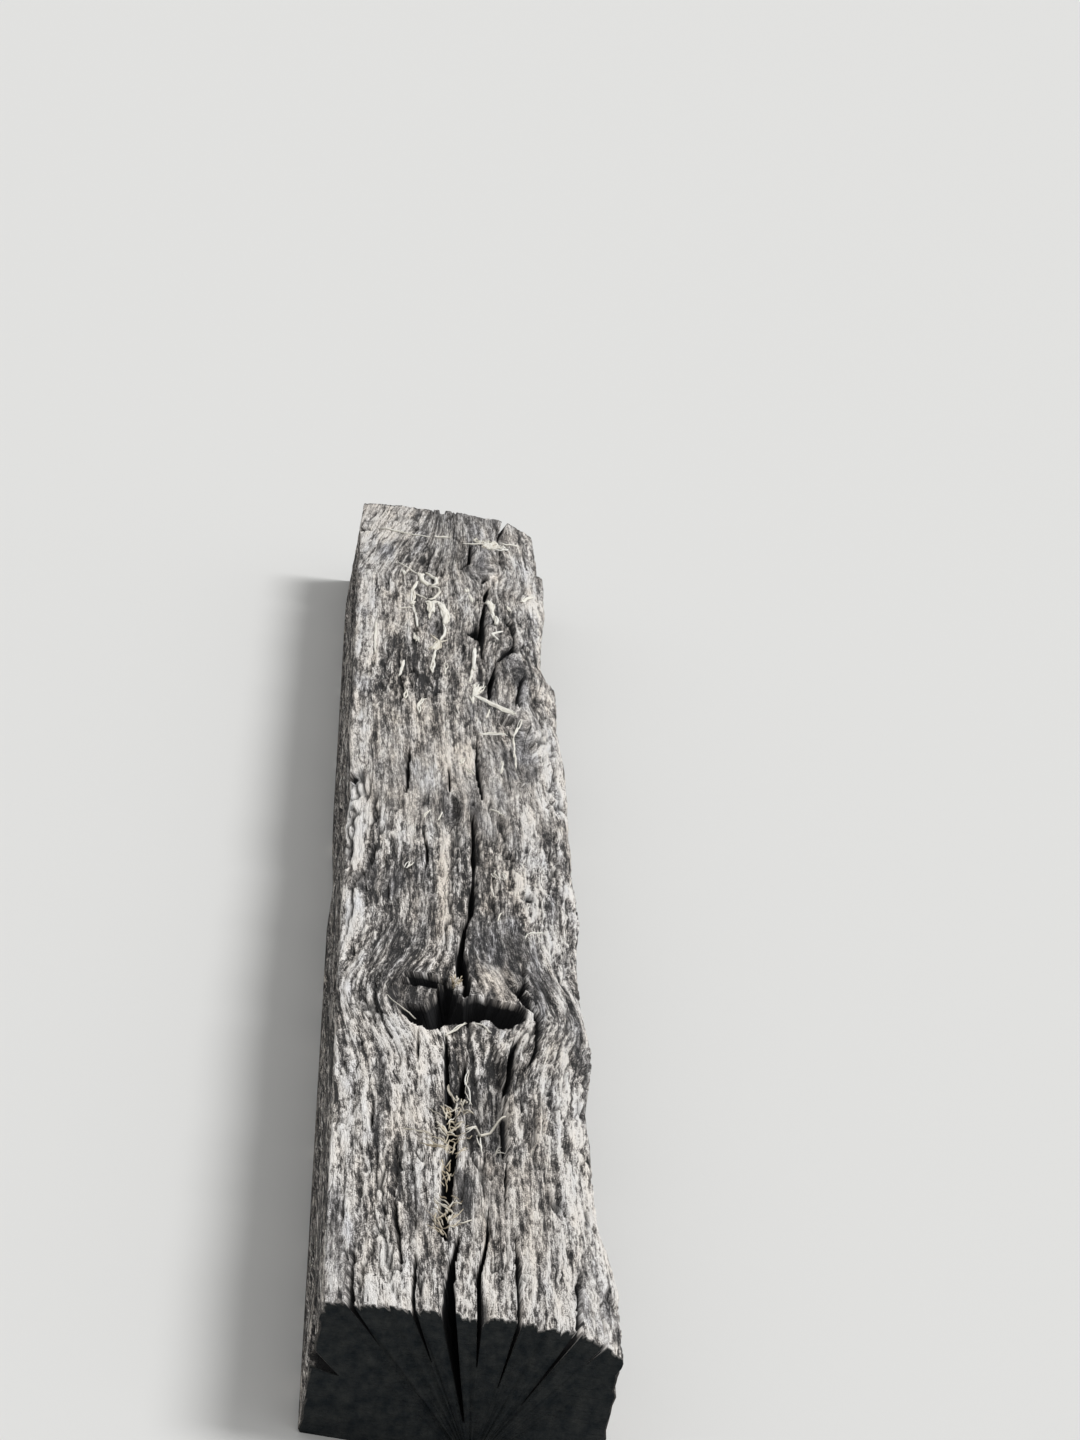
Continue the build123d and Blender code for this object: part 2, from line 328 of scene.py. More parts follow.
@dataclass
class Weathering:
    """How bleached, how brown and how rough the wood is from place to place."""

    patches: tuple[Patch, ...] = (
        # Whole stretches
        Patch(-60, 340, 140, -140, 0.33, 0.15, 0.90), Patch(340, 640, 140, -140, 0.15, 0.15, 0.95),
        Patch(640, 900, 140, -140, -0.16, 0.10, 0.90), Patch(900, 1190, 140, -140, -0.32, 0.20, 0.90),
        Patch(1190, 1540, 140, -140, -0.05, 0.40, 0.30), Patch(1540, 1700, 140, -140, -0.16, 0.35, 0.62),
        Patch(1700, 2150, 140, -140, -0.22, 0.35, 0.58), Patch(2150, 2700, 140, -140, -0.10, 0.15, 0.42),
        # Near end
        Patch(-60, 240, 128, 105, 0.10, -0.25, 0.40), Patch(-60, 140, 100, 58, 0.50, 0.10, 1.00),
        Patch(140, 340, 104, 62, -0.02, 0.35, 0.90), Patch(250, 340, 128, 106, 0.40, -0.10, 0.80),
        Patch(285, 330, 92, 66, -0.50, 0.30, 0.60), Patch(150, 222, 60, 38, -0.42, -0.30, 0.35),
        Patch(85, 165, 50, 30, -0.25, 0.30, 0.60), Patch(-60, 70, 24, -28, 0.45, 0.10, 1.00),
        Patch(190, 296, 19, 1, -0.62, -0.40, 0.15), Patch(165, 320, 0, -27, -0.15, 0.45, 0.30),
        Patch(130, 340, -30, -64, 0.12, 0.45, 0.60), Patch(235, 345, -86, -112, 0.75, 0.00, 0.60),
        Patch(-60, 92, -58, -81, 0.75, 0.00, 0.90), Patch(18, 150, -84, -120, 0.14, -0.15, 0.55),
        Patch(25, 85, 56, 36, 0.75, 0.10, 1.00), Patch(110, 165, 94, 76, 0.70, 0.10, 0.90),
        Patch(205, 245, 74, 58, 0.30, 0.20, 0.80), Patch(250, 305, 102, 88, 0.80, 0.00, 0.90),
        # Round the sunken strip
        Patch(330, 640, 124, 92, 0.36, 0.00, 1.00), Patch(300, 520, 91, 76, -0.40, -0.05, 0.60),
        Patch(340, 480, 74, 28, 0.32, 0.35, 0.90), Patch(480, 640, 74, 27, 0.50, 0.15, 1.00),
        Patch(332, 470, 14, -29, -0.52, -0.05, 0.95), Patch(465, 625, 24, -40, -0.78, 0.10, 0.95),
        Patch(410, 488, -31, -46, 0.22, 0.65, 0.60), Patch(300, 500, -46, -76, 0.02, 0.45, 0.70),
        Patch(430, 575, -72, -108, 0.52, 0.05, 0.80), Patch(462, 606, -43, -63, -0.18, 0.20, 1.00),
        Patch(560, 650, -9, -30, -0.15, 0.20, 0.90), Patch(570, 650, -28, -58, 0.36, 0.10, 1.00),
        Patch(310, 362, 127, 113, 0.95, 0.00, 0.70), Patch(370, 425, -62, -78, 0.80, 0.10, 0.90),
        Patch(490, 545, -12, -32, -0.10, 0.10, 0.90), Patch(515, 560, 62, 46, 1.00, 0.05, 0.90),
        # Round the knot hole
        Patch(575, 648, 74, 22, 0.72, 0.20, 1.00), Patch(640, 905, 128, 100, 0.55, -0.05, 1.00),
        Patch(700, 905, 98, 86, -0.15, -0.10, 0.70), Patch(690, 900, 92, 84, 0.55, 0.05, 0.70),
        Patch(742, 908, 98, 18, -0.46, 0.05, 0.85), Patch(690, 910, 83, 46, -0.72, -0.05, 0.75),
        # The second patch here darkens the knot hole's left ledge as painted shade.
        Patch(757, 912, 42, 19, 0.20, 0.60, 0.80), Patch(660, 738, 84, 28, -0.55, 0.05, 0.55),
        Patch(770, 912, -1, -60, -0.80, -0.40, 0.50), Patch(714, 806, -5, -46, -0.06, 0.65, 0.40),
        Patch(722, 770, 15, 3, 0.35, 0.95, 0.70), Patch(628, 676, -6, -36, -0.45, -0.60, 0.40),
        Patch(700, 910, -62, -76, -0.28, -0.55, 0.35), Patch(610, 700, -54, -66, 0.55, 0.10, 0.90),
        Patch(790, 910, -78, -104, 0.38, 0.20, 1.00), Patch(590, 770, -89, -99, 0.72, 0.00, 0.70),
        Patch(600, 760, -99, -120, -0.25, -0.20, 0.60), Patch(640, 705, 112, 97, 0.90, 0.00, 0.90),
        # The second patch here is painted shade on the knot hole's left ledge.
        Patch(600, 640, 47, 34, 0.70, 0.10, 0.90), Patch(660, 696, 54, 34, -1.00, -0.10, 0.30),
        Patch(694, 722, -6, -24, -0.90, -0.20, 0.40), Patch(770, 830, -76, -92, -0.55, -0.30, 0.60),
        # Between the knot hole and the middle
        Patch(855, 988, 127, 104, 0.85, -0.05, 0.70), Patch(990, 1046, 127, 103, -0.55, -0.10, 0.30),
        Patch(1046, 1200, 126, 104, 0.72, 0.00, 0.80), Patch(950, 1165, 100, 30, -0.44, 0.00, 0.80),
        Patch(978, 1062, 100, 62, -0.60, -0.35, 0.40), Patch(860, 1050, 60, 32, -0.32, 0.10, 0.55),
        Patch(855, 1125, 30, 14, 0.36, 0.80, 0.70), Patch(855, 958, -5, -58, -0.80, -0.50, 0.50),
        Patch(958, 1160, -12, -62, -0.30, 0.55, 0.60), Patch(1035, 1112, -26, -60, 0.28, 0.60, 1.00),
        Patch(900, 1165, -62, -80, 0.62, 0.05, 1.00), Patch(855, 960, -80, -114, 0.38, 0.00, 1.00),
        Patch(960, 1060, -82, -118, -0.12, -0.20, 0.70), Patch(1052, 1205, -74, -96, 0.42, 0.00, 1.00),
        Patch(1075, 1112, -104, -124, 0.55, -0.20, 0.40), Patch(895, 950, 62, 46, -0.65, 0.00, 0.70),
        Patch(895, 942, 14, 2, -0.65, -0.10, 0.60), Patch(1050, 1100, -74, -88, 0.95, 0.00, 0.90),
        Patch(1130, 1180, -92, -108, 0.75, 0.00, 0.90), Patch(1135, 1190, 96, 0, 0.38, 0.25, 0.60),
        # Middle
        Patch(1195, 1282, 126, 112, 0.85, -0.05, 0.50), Patch(1288, 1342, 126, 104, 0.62, 0.05, 0.60),
        Patch(1375, 1485, 124, 104, 0.32, 0.05, 0.60), Patch(1196, 1240, 100, 66, 0.40, 0.10, 0.80),
        Patch(1250, 1286, 86, 64, -0.42, 0.05, 0.30), Patch(1219, 1326, 26, 3, -0.52, -0.10, 0.45),
        Patch(1258, 1332, -9, -30, -0.08, -0.45, 0.10), Patch(1330, 1422, 60, 18, 0.02, -0.25, 0.20),
        Patch(1190, 1520, -12, -58, -0.08, 0.05, 0.22), Patch(1416, 1525, 22, -16, 0.40, 0.85, 0.50),
        Patch(1180, 1345, -58, -84, 0.26, 0.00, 0.60), Patch(1340, 1530, -92, -124, 0.78, -0.05, 0.90),
        Patch(1195, 1272, -86, -118, -0.28, 0.00, 0.80), Patch(1418, 1525, -48, -92, -0.42, -0.25, 0.25),
        Patch(1180, 1345, 127, 104, 1.00, -0.05, 0.50),
        # Past the middle
        Patch(1500, 1605, 127, 110, 0.50, 0.00, 0.80), Patch(1515, 1690, 62, -2, -0.06, 0.55, 0.60),
        Patch(1618, 1684, -8, -46, -0.40, -0.30, 0.30), Patch(1500, 1845, -68, -90, -0.34, -0.80, 0.35),
        Patch(1530, 1695, -94, -120, 0.80, -0.05, 0.60), Patch(1695, 1845, 104, 18, -0.46, 0.30, 0.95),
        Patch(1680, 1765, 127, 106, 0.25, -0.25, 0.50), Patch(1718, 1812, -46, -72, -0.02, 0.65, 0.30),
        Patch(1700, 1845, -96, -120, 0.20, 0.50, 0.60), Patch(1706, 1845, -36, -48, -0.30, -0.30, 0.40),
        Patch(1540, 1590, 4, -8, 0.70, 0.30, 0.50), Patch(1645, 1712, -54, -94, -0.28, -0.20, 0.40),
        Patch(1750, 1815, 106, 94, 0.55, 0.10, 0.70),
        # Far third
        Patch(1825, 2440, 127, 101, 0.62, -0.05, 0.65), Patch(2008, 2052, 119, 106, -0.15, -0.40, 0.40),
        Patch(1835, 1975, 103, 98, 0.45, 0.50, 0.30), Patch(1815, 1935, 84, 38, -0.72, 0.15, 0.72),
        Patch(1940, 2150, 92, 56, 0.22, 0.55, 0.60), Patch(1958, 2024, 35, 20, -0.50, -0.45, 0.05),
        Patch(2018, 2135, -4, -31, 0.20, -0.05, 0.60), Patch(1815, 2005, -37, -60, -0.35, 0.15, 0.45),
        Patch(1815, 1935, -58, -92, -0.90, -0.40, 0.45), Patch(1945, 2165, -82, -112, 0.06, -0.20, 0.65),
        Patch(2290, 2372, 106, 80, -0.32, -0.65, 0.35), Patch(2295, 2405, 78, 22, -0.28, 0.05, 0.60),
        Patch(2150, 2262, 26, 2, -0.08, 0.60, 0.45), Patch(2262, 2336, -8, -52, -0.40, -0.10, 0.25),
        Patch(2332, 2485, -22, -47, -0.32, -0.50, 0.25), Patch(2238, 2300, -49, -66, 0.42, 0.85, 0.40),
        Patch(2160, 2275, -98, -120, 0.60, 0.30, 0.70), Patch(2290, 2400, -74, -116, 0.28, -0.20, 0.62),
        Patch(2410, 2700, 128, 54, 0.34, 0.35, 0.45), Patch(2420, 2565, 53, 34, -0.32, -0.40, 0.45),
        Patch(2470, 2700, 30, -64, -0.14, -0.25, 0.45), Patch(1940, 1995, 66, 50, -0.25, 0.20, 0.60),
        Patch(1925, 1978, -68, -84, -0.75, -0.10, 0.50), Patch(2145, 2200, 86, 70, 0.75, 0.15, 0.70),
        Patch(2500, 2556, 58, 42, 0.65, 0.20, 0.40),
        # Painted shadow of the root clumps: darker wood under and beside them
        Patch(2030, 2096, 40, 22, -0.45, 0.15, 0.45), Patch(1992, 2060, 12, -2, -0.40, 0.10, 0.40),
        Patch(2186, 2232, 34, 22, -0.40, -0.10, 0.40), Patch(2096, 2150, -38, -62, -0.55, -0.20, 0.40),
        Patch(2040, 2092, -44, -62, -0.50, -0.10, 0.40),
    )
    shelves: tuple[Shelf, ...] = (
        Shelf(330, 470, 12, -32, 10),
        Shelf(470, 640, 22, -34, 8),
        Shelf(668, 738, 82, 33, 12),
        Shelf(631, 674, -7, -35, 10),
        Shelf(1216, 1330, 27, 1, 7),
        Shelf(1260, 1275, 80, 62, 4),
        Shelf(1408, 1700, -50, -95, 8),
        Shelf(1952, 2028, 37, 18, 6),
    )
    bare_contrast: float = 0.7

    def lit(self, distance: np.ndarray, offset: np.ndarray) -> np.ndarray:
        """Depth down to which light reaches at each place, in millimetres."""
        return np.max([shelf.allowance(distance, offset) for shelf in self.shelves], axis=0)

    def lay(self, distance: np.ndarray, offset: np.ndarray) -> tuple[np.ndarray, np.ndarray, np.ndarray]:
        """Tone, warmth and contrast at each place.

        Args:
            distance: Distances from the near end.
            offset: Offsets across the timber.

        Returns:
            The three values at each place.
        """
        tone = np.zeros(distance.shape)
        warmth = np.zeros(distance.shape)
        contrast = np.full(distance.shape, self.bare_contrast)
        for patch in self.patches:
            share = patch.share(distance, offset)
            tone += (patch.tone - tone) * share
            warmth += (patch.warmth - warmth) * share
            contrast += (patch.contrast - contrast) * share
        return tone, warmth, contrast


@dataclass
class Timber:
    """The sawn and weathered baulk, laid over the solid it stands for.

    Sizes are in millimetres. rows, top_columns, side_rows and cap_levels count the
    mesh's steps along the timber, across its top, down its sides and over its ends.
    near_step, far_step and knot_step are how far apart the rows are, in proportion,
    and knot_place is the knot's distance and how far its closer rows spread. pith is
    the offset and height of the line that the checks lean to, and bed_arris the bevel
    of the bed. Probing lines start reach outside the solid, stay inset inside its ends
    and sides and stand probe apart, and the long sides are read at level. The
    uncracked top is the crown_rank percentile of the heights over crown_rows rows each
    way, and the relief starts proud above it. side_ease and cap_ease draw the sides'
    and ends' points together, the ends are ragged above arris_level, and points within
    weld join. The side values are those of the sawn sides.
    """

    rows: int = 468
    top_columns: int = 158
    side_rows: int = 16
    cap_levels: int = 18
    bed_arris: float = 3.0
    pith: tuple[float, float] = (-16.0, -5.0)
    reach: float = 25.0
    near_step: float = 4.4
    far_step: float = 6.6
    knot_step: float = 2.6
    knot_place: tuple[float, float] = (695.0, 95.0)
    proud: float = 1.0
    inset: float = 0.4
    probe: float = 0.55
    level: float = 30.0
    crown_rows: int = 40
    crown_rank: float = 90
    side_ease: float = 1.45
    cap_ease: float = 1.4
    arris_level: float = 80.0
    weld: float = 0.02
    side_tone: float = -0.60
    side_warmth: float = 0.40
    side_contrast: float = 0.85
    grain: Grain = field(default_factory=Grain)
    weathering: Weathering = field(default_factory=Weathering)

    def __post_init__(self) -> None:
        """Take the sizes from the solid."""
        low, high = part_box(NODE)
        self.low = np.array(low) / MM
        self.high = np.array(high) / MM
        self.length = self.high[0] - self.low[0]
        self.solid = search_tree(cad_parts[NODE].data, weld=1e-6)

    def _stations(self) -> np.ndarray:
        """Distances of the rows from the near end, closer together near it and at the knot.

        Returns:
            One distance for each row, in millimetres.
        """
        samples = 4001
        fine = np.linspace(0.0, self.length, samples)
        step = self.near_step + (self.far_step - self.near_step) * fine / self.length
        place, spread = self.knot_place
        step -= (step - self.knot_step) * np.exp(-((fine - place) / spread) ** 4)
        count = np.concatenate(([0.0], np.cumsum(np.diff(fine) / ((step[1:] + step[:-1]) / 2))))
        return np.interp(np.linspace(0.0, count[-1], self.rows + 1), count, fine)

    def _cast(self, start: np.ndarray, way: np.ndarray) -> float | None:
        """Distance in millimetres from a point to the solid, or None where the line misses it."""
        hit = self.solid.ray_cast(Vector(start * MM), Vector(way))
        return None if hit[0] is None else hit[3] / MM

    def _outline(self, x: np.ndarray) -> tuple[np.ndarray, np.ndarray]:
        """Offsets of the two long sides at each row.

        Args:
            x: Place of each row.

        Returns:
            Offsets of the left and of the right side.
        """
        far = self.high[1] + self.reach
        left, right = [], []
        for place in x:
            left.append(far - self._cast(np.array((place, far, self.level)), np.array((0, -1, 0))))
            right.append(self._cast(np.array((place, -far, self.level)), np.array((0, 1, 0))) - far)
        return np.array(left), np.array(right)

    def _crown(self, x: np.ndarray, offsets: np.ndarray) -> np.ndarray:
        """Height of the top before it cracked, at each row and column.

        Args:
            x: Place of each row.
            offsets: Offset of each column at each row.

        Returns:
            Heights in millimetres.
        """
        above = self.high[2] + self.reach
        down = np.array((0, 0, -1))
        heights = np.empty(offsets.shape)
        for j, place in enumerate(x):
            for i, offset in enumerate(offsets[j]):
                found = self._cast(np.array((place, offset, above)), down)
                heights[j, i] = above - found if found is not None else 0.0
        half = self.crown_rows
        padded = np.pad(heights, ((half, half), (0, 0)), mode="edge")
        window = np.lib.stride_tricks.sliding_window_view(padded, 2 * half + 1, axis=0)
        return np.percentile(window, self.crown_rank, axis=-1)

    def _skin(self) -> tuple[np.ndarray, np.ndarray, np.ndarray]:
        """Points of the uncracked skin round the section, from the left bed edge to the right one.

        Returns:
            Points by row and column, distance of each row, and place round the section.
        """
        distance = self._stations()
        x = np.clip(distance + self.low[0], self.low[0] + self.inset, self.high[0] - self.inset)
        left, right = self._outline(x)
        share = np.linspace(0.0, 1.0, self.top_columns + 1)
        offsets = left[:, None] + (right - left)[:, None] * share[None, :]
        inner = np.clip(offsets, (right + self.inset)[:, None], (left - self.inset)[:, None])
        crown = self._crown(x, inner)
        fall = (np.arange(self.side_rows, 0, -1) / self.side_rows) ** self.side_ease
        levels = crown[:, :1] - (crown[:, :1] - self.bed_arris) * fall[None, :]
        right_levels = crown[:, -1:] - (crown[:, -1:] - self.bed_arris) * fall[None, ::-1]
        ones = np.ones((len(x), 1))
        across = np.hstack([
            (left - self.bed_arris)[:, None],
            left[:, None] * np.ones((1, self.side_rows)),
            offsets,
            right[:, None] * np.ones((1, self.side_rows)),
            (right + self.bed_arris)[:, None],
        ])
        up = np.hstack([0 * ones, levels, crown, right_levels, 0 * ones])
        along = (distance + self.low[0])[:, None] * np.ones((1, across.shape[1]))
        left_run = left[:, None] + crown[:, :1] - levels
        right_run = right[:, None] - crown[:, -1:] + right_levels
        run = np.hstack([
            left_run[:, :1] + self.bed_arris,
            left_run,
            offsets,
            right_run,
            right_run[:, -1:] - self.bed_arris,
        ])
        return np.stack([along, across, up], axis=-1), distance, run

    def _depths(self, skin: np.ndarray, inward: np.ndarray) -> np.ndarray:
        """Depth of the solid's surface below the skin, along lines to the pith.

        Args:
            skin: Points of the uncracked skin.
            inward: Unit direction to the pith at each point.

        Returns:
            Depth at each point in millimetres.
        """
        start = skin.copy()
        start[..., 0] = np.clip(start[..., 0], self.low[0] + self.inset, self.high[0] - self.inset)
        side = np.stack([np.zeros(inward.shape[:2]), inward[..., 2], -inward[..., 1]], axis=-1)
        deepest = np.zeros(skin.shape[:2])
        for shift in (-self.probe, 0.0, self.probe):
            outside = start - inward * self.reach + side * shift
            for j in range(skin.shape[0]):
                for i in range(1, skin.shape[1] - 1):
                    found = self._cast(outside[j, i], inward[j, i])
                    if found is not None and found - self.reach > deepest[j, i]:
                        deepest[j, i] = found - self.reach
        return deepest

    def _relief(self, distance: np.ndarray, fibre: np.ndarray, contrast: np.ndarray) -> dict[str, np.ndarray]:
        """Fine relief of the weathered skin.

        Args:
            distance: Distance of each point from the near end.
            fibre: Fibre coordinate of each point.
            contrast: How rough the wood is at each point, from 0 to 1.

        Returns:
            Depth of all the relief, the fine splits alone, and the furrows alone.
        """
        ridges = np.abs(Lattice(1, 88, 4.6).at(distance, fibre))
        fine = Lattice(2, 24, 2.3).at(distance, fibre) * 0.5 + 0.5
        swell = Lattice(3, 260, 46).at(distance, fibre) * 0.5 + 0.5
        flakes = Lattice(4, 48, 9).at(distance, fibre) + 0.6 * Lattice(5, 13, 4).at(distance, fibre)
        flakes = smooth_step(0.05, 0.32, flakes)
        lines = Lattice(6, 190, 8.5).at(distance, fibre) + 0.22 * Lattice(7, 30, 6).at(distance, fibre)
        here = smooth_step(0.0, 0.22, Lattice(8, 140, 30).at(distance, fibre))
        splits = smooth_step(0.12, 0.02, np.abs(lines)) * here
        pits = smooth_step(0.42, 0.66, Lattice(9, 17, 6).at(distance, fibre))
        pits = pits * smooth_step(0.35, 0.8, contrast)
        rough = 0.35 + 0.95 * contrast
        depth = rough * (0.9 * ridges + 0.8 * fine + 1.3 * flakes + 2.0 * pits) + 0.9 * swell + 3.6 * splits
        furrow_painted_shade = np.clip(0.55 * ridges + 0.55 * flakes + 0.9 * pits, 0.0, 1.0)
        return {"depth": depth - self.proud, "splits": splits, "furrow_painted_shade": furrow_painted_shade}

    def _sheet(self, points: np.ndarray) -> bmesh.types.BMesh:
        """Grid mesh laid over an array of points.

        Args:
            points: Points by row and column, in millimetres.

        Returns:
            The mesh, in metres.
        """
        rows, columns = points.shape[0] - 1, points.shape[1] - 1
        sheet = bmesh.new()
        bmesh.ops.create_grid(sheet, x_segments=rows, y_segments=columns, size=1.0)
        for vert in sheet.verts:
            j = round((vert.co.x + 1.0) / 2.0 * rows)
            i = round((vert.co.y + 1.0) / 2.0 * columns)
            vert.co = points[j, i] * MM
        return sheet

    def _cap(self, rim: np.ndarray, outward: float) -> np.ndarray:
        """Points of an end face, along lines from its rim to the pith and down to the bed.

        Args:
            rim: Points of the skin's last row, from the left bed edge to the right one.
            outward: -1 at the near end and 1 at the far end.

        Returns:
            Points by level and by place round the rim.
        """
        height = rim[:, 2:]
        share = height / (height - self.pith[1])
        foot = rim.copy()
        foot[:, 1:] += (np.array(self.pith) - rim[:, 1:]) * share
        foot[:, 2] = 0.0
        points = np.empty((self.cap_levels + 1,) + rim.shape)
        coarse, fine = Lattice(21, 9, 9), Lattice(22, 3, 3)
        for k in range(self.cap_levels + 1):
            down = (k / self.cap_levels) ** self.cap_ease
            line = rim + (foot - rim) * down
            rough = coarse.at(line[:, 1], line[:, 2]) + fine.at(line[:, 1], line[:, 2])
            sunk = math.sin(math.pi * down) if k < self.cap_levels else 0.0
            line[:, 0] -= outward * (0.5 + 0.4 * rough) * sunk * np.minimum(line[:, 2] / 6, 1.0)
            points[k] = line
        return points

    def build(self) -> bpy.types.Object:
        """Build the closed mesh of the timber with the values its finish reads.

        Returns:
            The timber, in place in the frame.
        """
        skin, distance, run = self._skin()
        toward = np.array((self.pith[0], self.pith[1])) - skin[..., 1:]
        toward /= np.linalg.norm(toward, axis=-1, keepdims=True)
        inward = np.concatenate([np.zeros(toward.shape[:2] + (1,)), toward], axis=-1)
        depth = self._depths(skin, inward)
        place = distance[:, None] * np.ones((1, run.shape[1]))
        fibre = self.grain.fibre(place, run)
        tone, warmth, contrast = self._looks(skin, place, run, fibre)
        relief = self._relief(place, fibre, contrast)
        worn = np.ones(depth.shape)
        bed_columns = [0, 1, -1, -2]
        worn[:, bed_columns] = 0.0
        quiet = 1.0 - 0.6 * smooth_step(4.0, 20.0, depth)
        points = skin + inward * (depth + relief["depth"] * worn * quiet)[..., None]
        level = run[0] * 0
        ragged = Lattice(31, 7).at(run[0], level) + 0.6 * Lattice(32, 2.5).at(run[0], level)
        on_top = smooth_step(0.0, 20.0, points[..., 2] - self.arris_level)
        bite = 1.6 + 1.3 * ragged
        points[0, :, 0] += bite * on_top[0]
        points[-1, :, 0] -= bite[::-1] * on_top[-1]
        sheet = self._sheet(points)
        # The depth below the skin and the split and furrow masks mark where the finish paints shade.
        self._hold(sheet, {
            "shaded": depth - self.weathering.lit(place, run),
            "split_shade": relief["splits"],
            "furrow_painted_shade": relief["furrow_painted_shade"],
            "tone": tone,
            "warmth": warmth,
            "contrast": contrast,
            "along": place * MM,
            "fibre": fibre * MM,
            "end": np.zeros(depth.shape),
        })
        for rim, outward in ((points[0], -1.0), (points[-1], 1.0)):
            self._join_cap(sheet, self._cap(rim, outward))
        self._close(sheet)
        return place_shape("weathered_baulk", sheet)

    def _looks(self, skin: np.ndarray, place: np.ndarray, run: np.ndarray,
               fibre: np.ndarray) -> tuple[np.ndarray, np.ndarray, np.ndarray]:
        """Tone, warmth and contrast, those of the top and past its arrises those of the sides.

        Args:
            skin: Points of the uncracked skin.
            place: Distance of each point from the near end.
            run: Place of each point round the section.
            fibre: Fibre coordinate of each point.

        Returns:
            The three values at each point.
        """
        tone, warmth, contrast = self.weathering.lay(place, run)
        past = np.abs(run) - np.abs(skin[..., 1]) + 7.0 * Lattice(51, 46, 6).at(place, run)
        on_side = smooth_step(0.0, 12.0, past)
        streak = Lattice(52, 300, 9).at(place, fibre)
        tone = tone * (1 - on_side) + (0.22 * streak + self.side_tone) * on_side
        warmth = warmth * (1 - on_side) + self.side_warmth * on_side
        contrast = contrast * (1 - on_side) + self.side_contrast * on_side
        return tone, warmth, contrast

    def _close(self, sheet: bmesh.types.BMesh) -> None:
        """Join the end faces to the skin, close the bed and turn all faces outward.

        Args:
            sheet: Mesh of the timber.
        """
        bmesh.ops.remove_doubles(sheet, verts=sheet.verts, dist=self.weld * MM)
        open_edges = [edge for edge in sheet.edges if edge.is_boundary]
        bmesh.ops.holes_fill(sheet, edges=open_edges, sides=0)
        bmesh.ops.recalc_face_normals(sheet, faces=sheet.faces)
        for face in sheet.faces:
            face.smooth = len(face.verts) <= 4
        left_open = sum(1 for edge in sheet.edges if not edge.is_manifold)
        LOG.info("timber: %d faces, %d edges not closed", len(sheet.faces), left_open)

    def _join_cap(self, sheet: bmesh.types.BMesh, cap_points: np.ndarray) -> None:
        """Add an end face to the timber's mesh.

        Args:
            sheet: Mesh of the timber.
            cap_points: Points of the end face, from _cap.
        """
        cap = self._sheet(cap_points)
        flat = np.ones(cap_points.shape[:2])
        self._hold(cap, {
            **{name: flat * 0 for name in ("shaded", "split_shade", "furrow_painted_shade", "tone", "warmth", "contrast")},
            "along": cap_points[..., 1] * MM,
            "fibre": cap_points[..., 2] * MM,
            "end": flat,
        })
        scrap = bpy.data.meshes.new("cap")
        cap.to_mesh(scrap)
        cap.free()
        sheet.from_mesh(scrap)
        bpy.data.meshes.remove(scrap)

    def _hold(self, sheet: bmesh.types.BMesh, values: dict[str, np.ndarray]) -> None:
        """Store one value for each point of a grid mesh.

        Args:
            sheet: Grid mesh made by _sheet.
            values: Arrays by name, with the rows and columns of the grid.
        """
        rows = next(iter(values.values())).shape[0] - 1
        layers = {name: sheet.verts.layers.float.new(name) for name in values}
        for order, vert in enumerate(sheet.verts):
            j = order // (rows + 1)
            i = order % (rows + 1)
            for name, layer in layers.items():
                vert[layer] = float(values[name][i, j])


class Kind(Enum):
    """Kinds of litter on the timber: rootlets, straw, brown crumbs and paler chaff."""

    ROOT = "root"
    STRAW = "straw"
    DEBRIS = "debris"
    CHAFF = "chaff"


ROOT, STRAW, DEBRIS, CHAFF = Kind


@dataclass(frozen=True)
class Habit:
    """How the strands of one kind of litter run, and how brown they are.

    share is the least and the most of a tuft's length that one strand takes, stray
    how far it turns at each step for the tuft's wander, keep how much of its heading
    it keeps, and home how firmly it turns back to the tuft's middle. brown runs from
    0, a pale root, to 1, brown straw, and stain is how much browner a strand may be.
    """

    share: tuple[float, float]
    stray: float
    keep: float
    home: float
    brown: float
    stain: float


HABITS = {
    ROOT: Habit((0.35, 0.9), 1.25, 0.82, 0.04, 0.0, 0.2),
    STRAW: Habit((0.35, 0.9), 1.25, 0.82, 0.04, 0.45, 0.2),
    DEBRIS: Habit((0.08, 0.26), 0.12, 0.96, 0.0, 0.8, 0.2),
    CHAFF: Habit((0.08, 0.26), 0.12, 0.96, 0.0, 0.3, 0.5),
}


@dataclass(frozen=True)
class Tuft:
    """A bunch of dead rootlets, straw, crumbs or chaff that lies on the timber.

    start and end are the bunch's two ends and bends the corners between them, as
    distance from the near end and offset across. Sizes are in millimetres. spread is
    the bunch's width, count its strands, thick the diameter of the thickest, wander
    how much they bend, and sink how far below the top they lie.
    """

    kind: Kind
    start: tuple[float, float]
    end: tuple[float, float]
    spread: float
    count: int
    thick: float
    sink: float = 0.0
    wander: float = 0.12
    bends: tuple[tuple[float, float], ...] = ()

    def course(self) -> tuple[np.ndarray, np.ndarray]:
        """Line that the bunch follows.

        Returns:
            The line's corners, and the length along it up to each of them.
        """
        corners = np.array((self.start, *self.bends, self.end), dtype=float)
        steps = np.linalg.norm(np.diff(corners, axis=0), axis=1)
        return corners, np.concatenate(([0.0], np.cumsum(steps)))


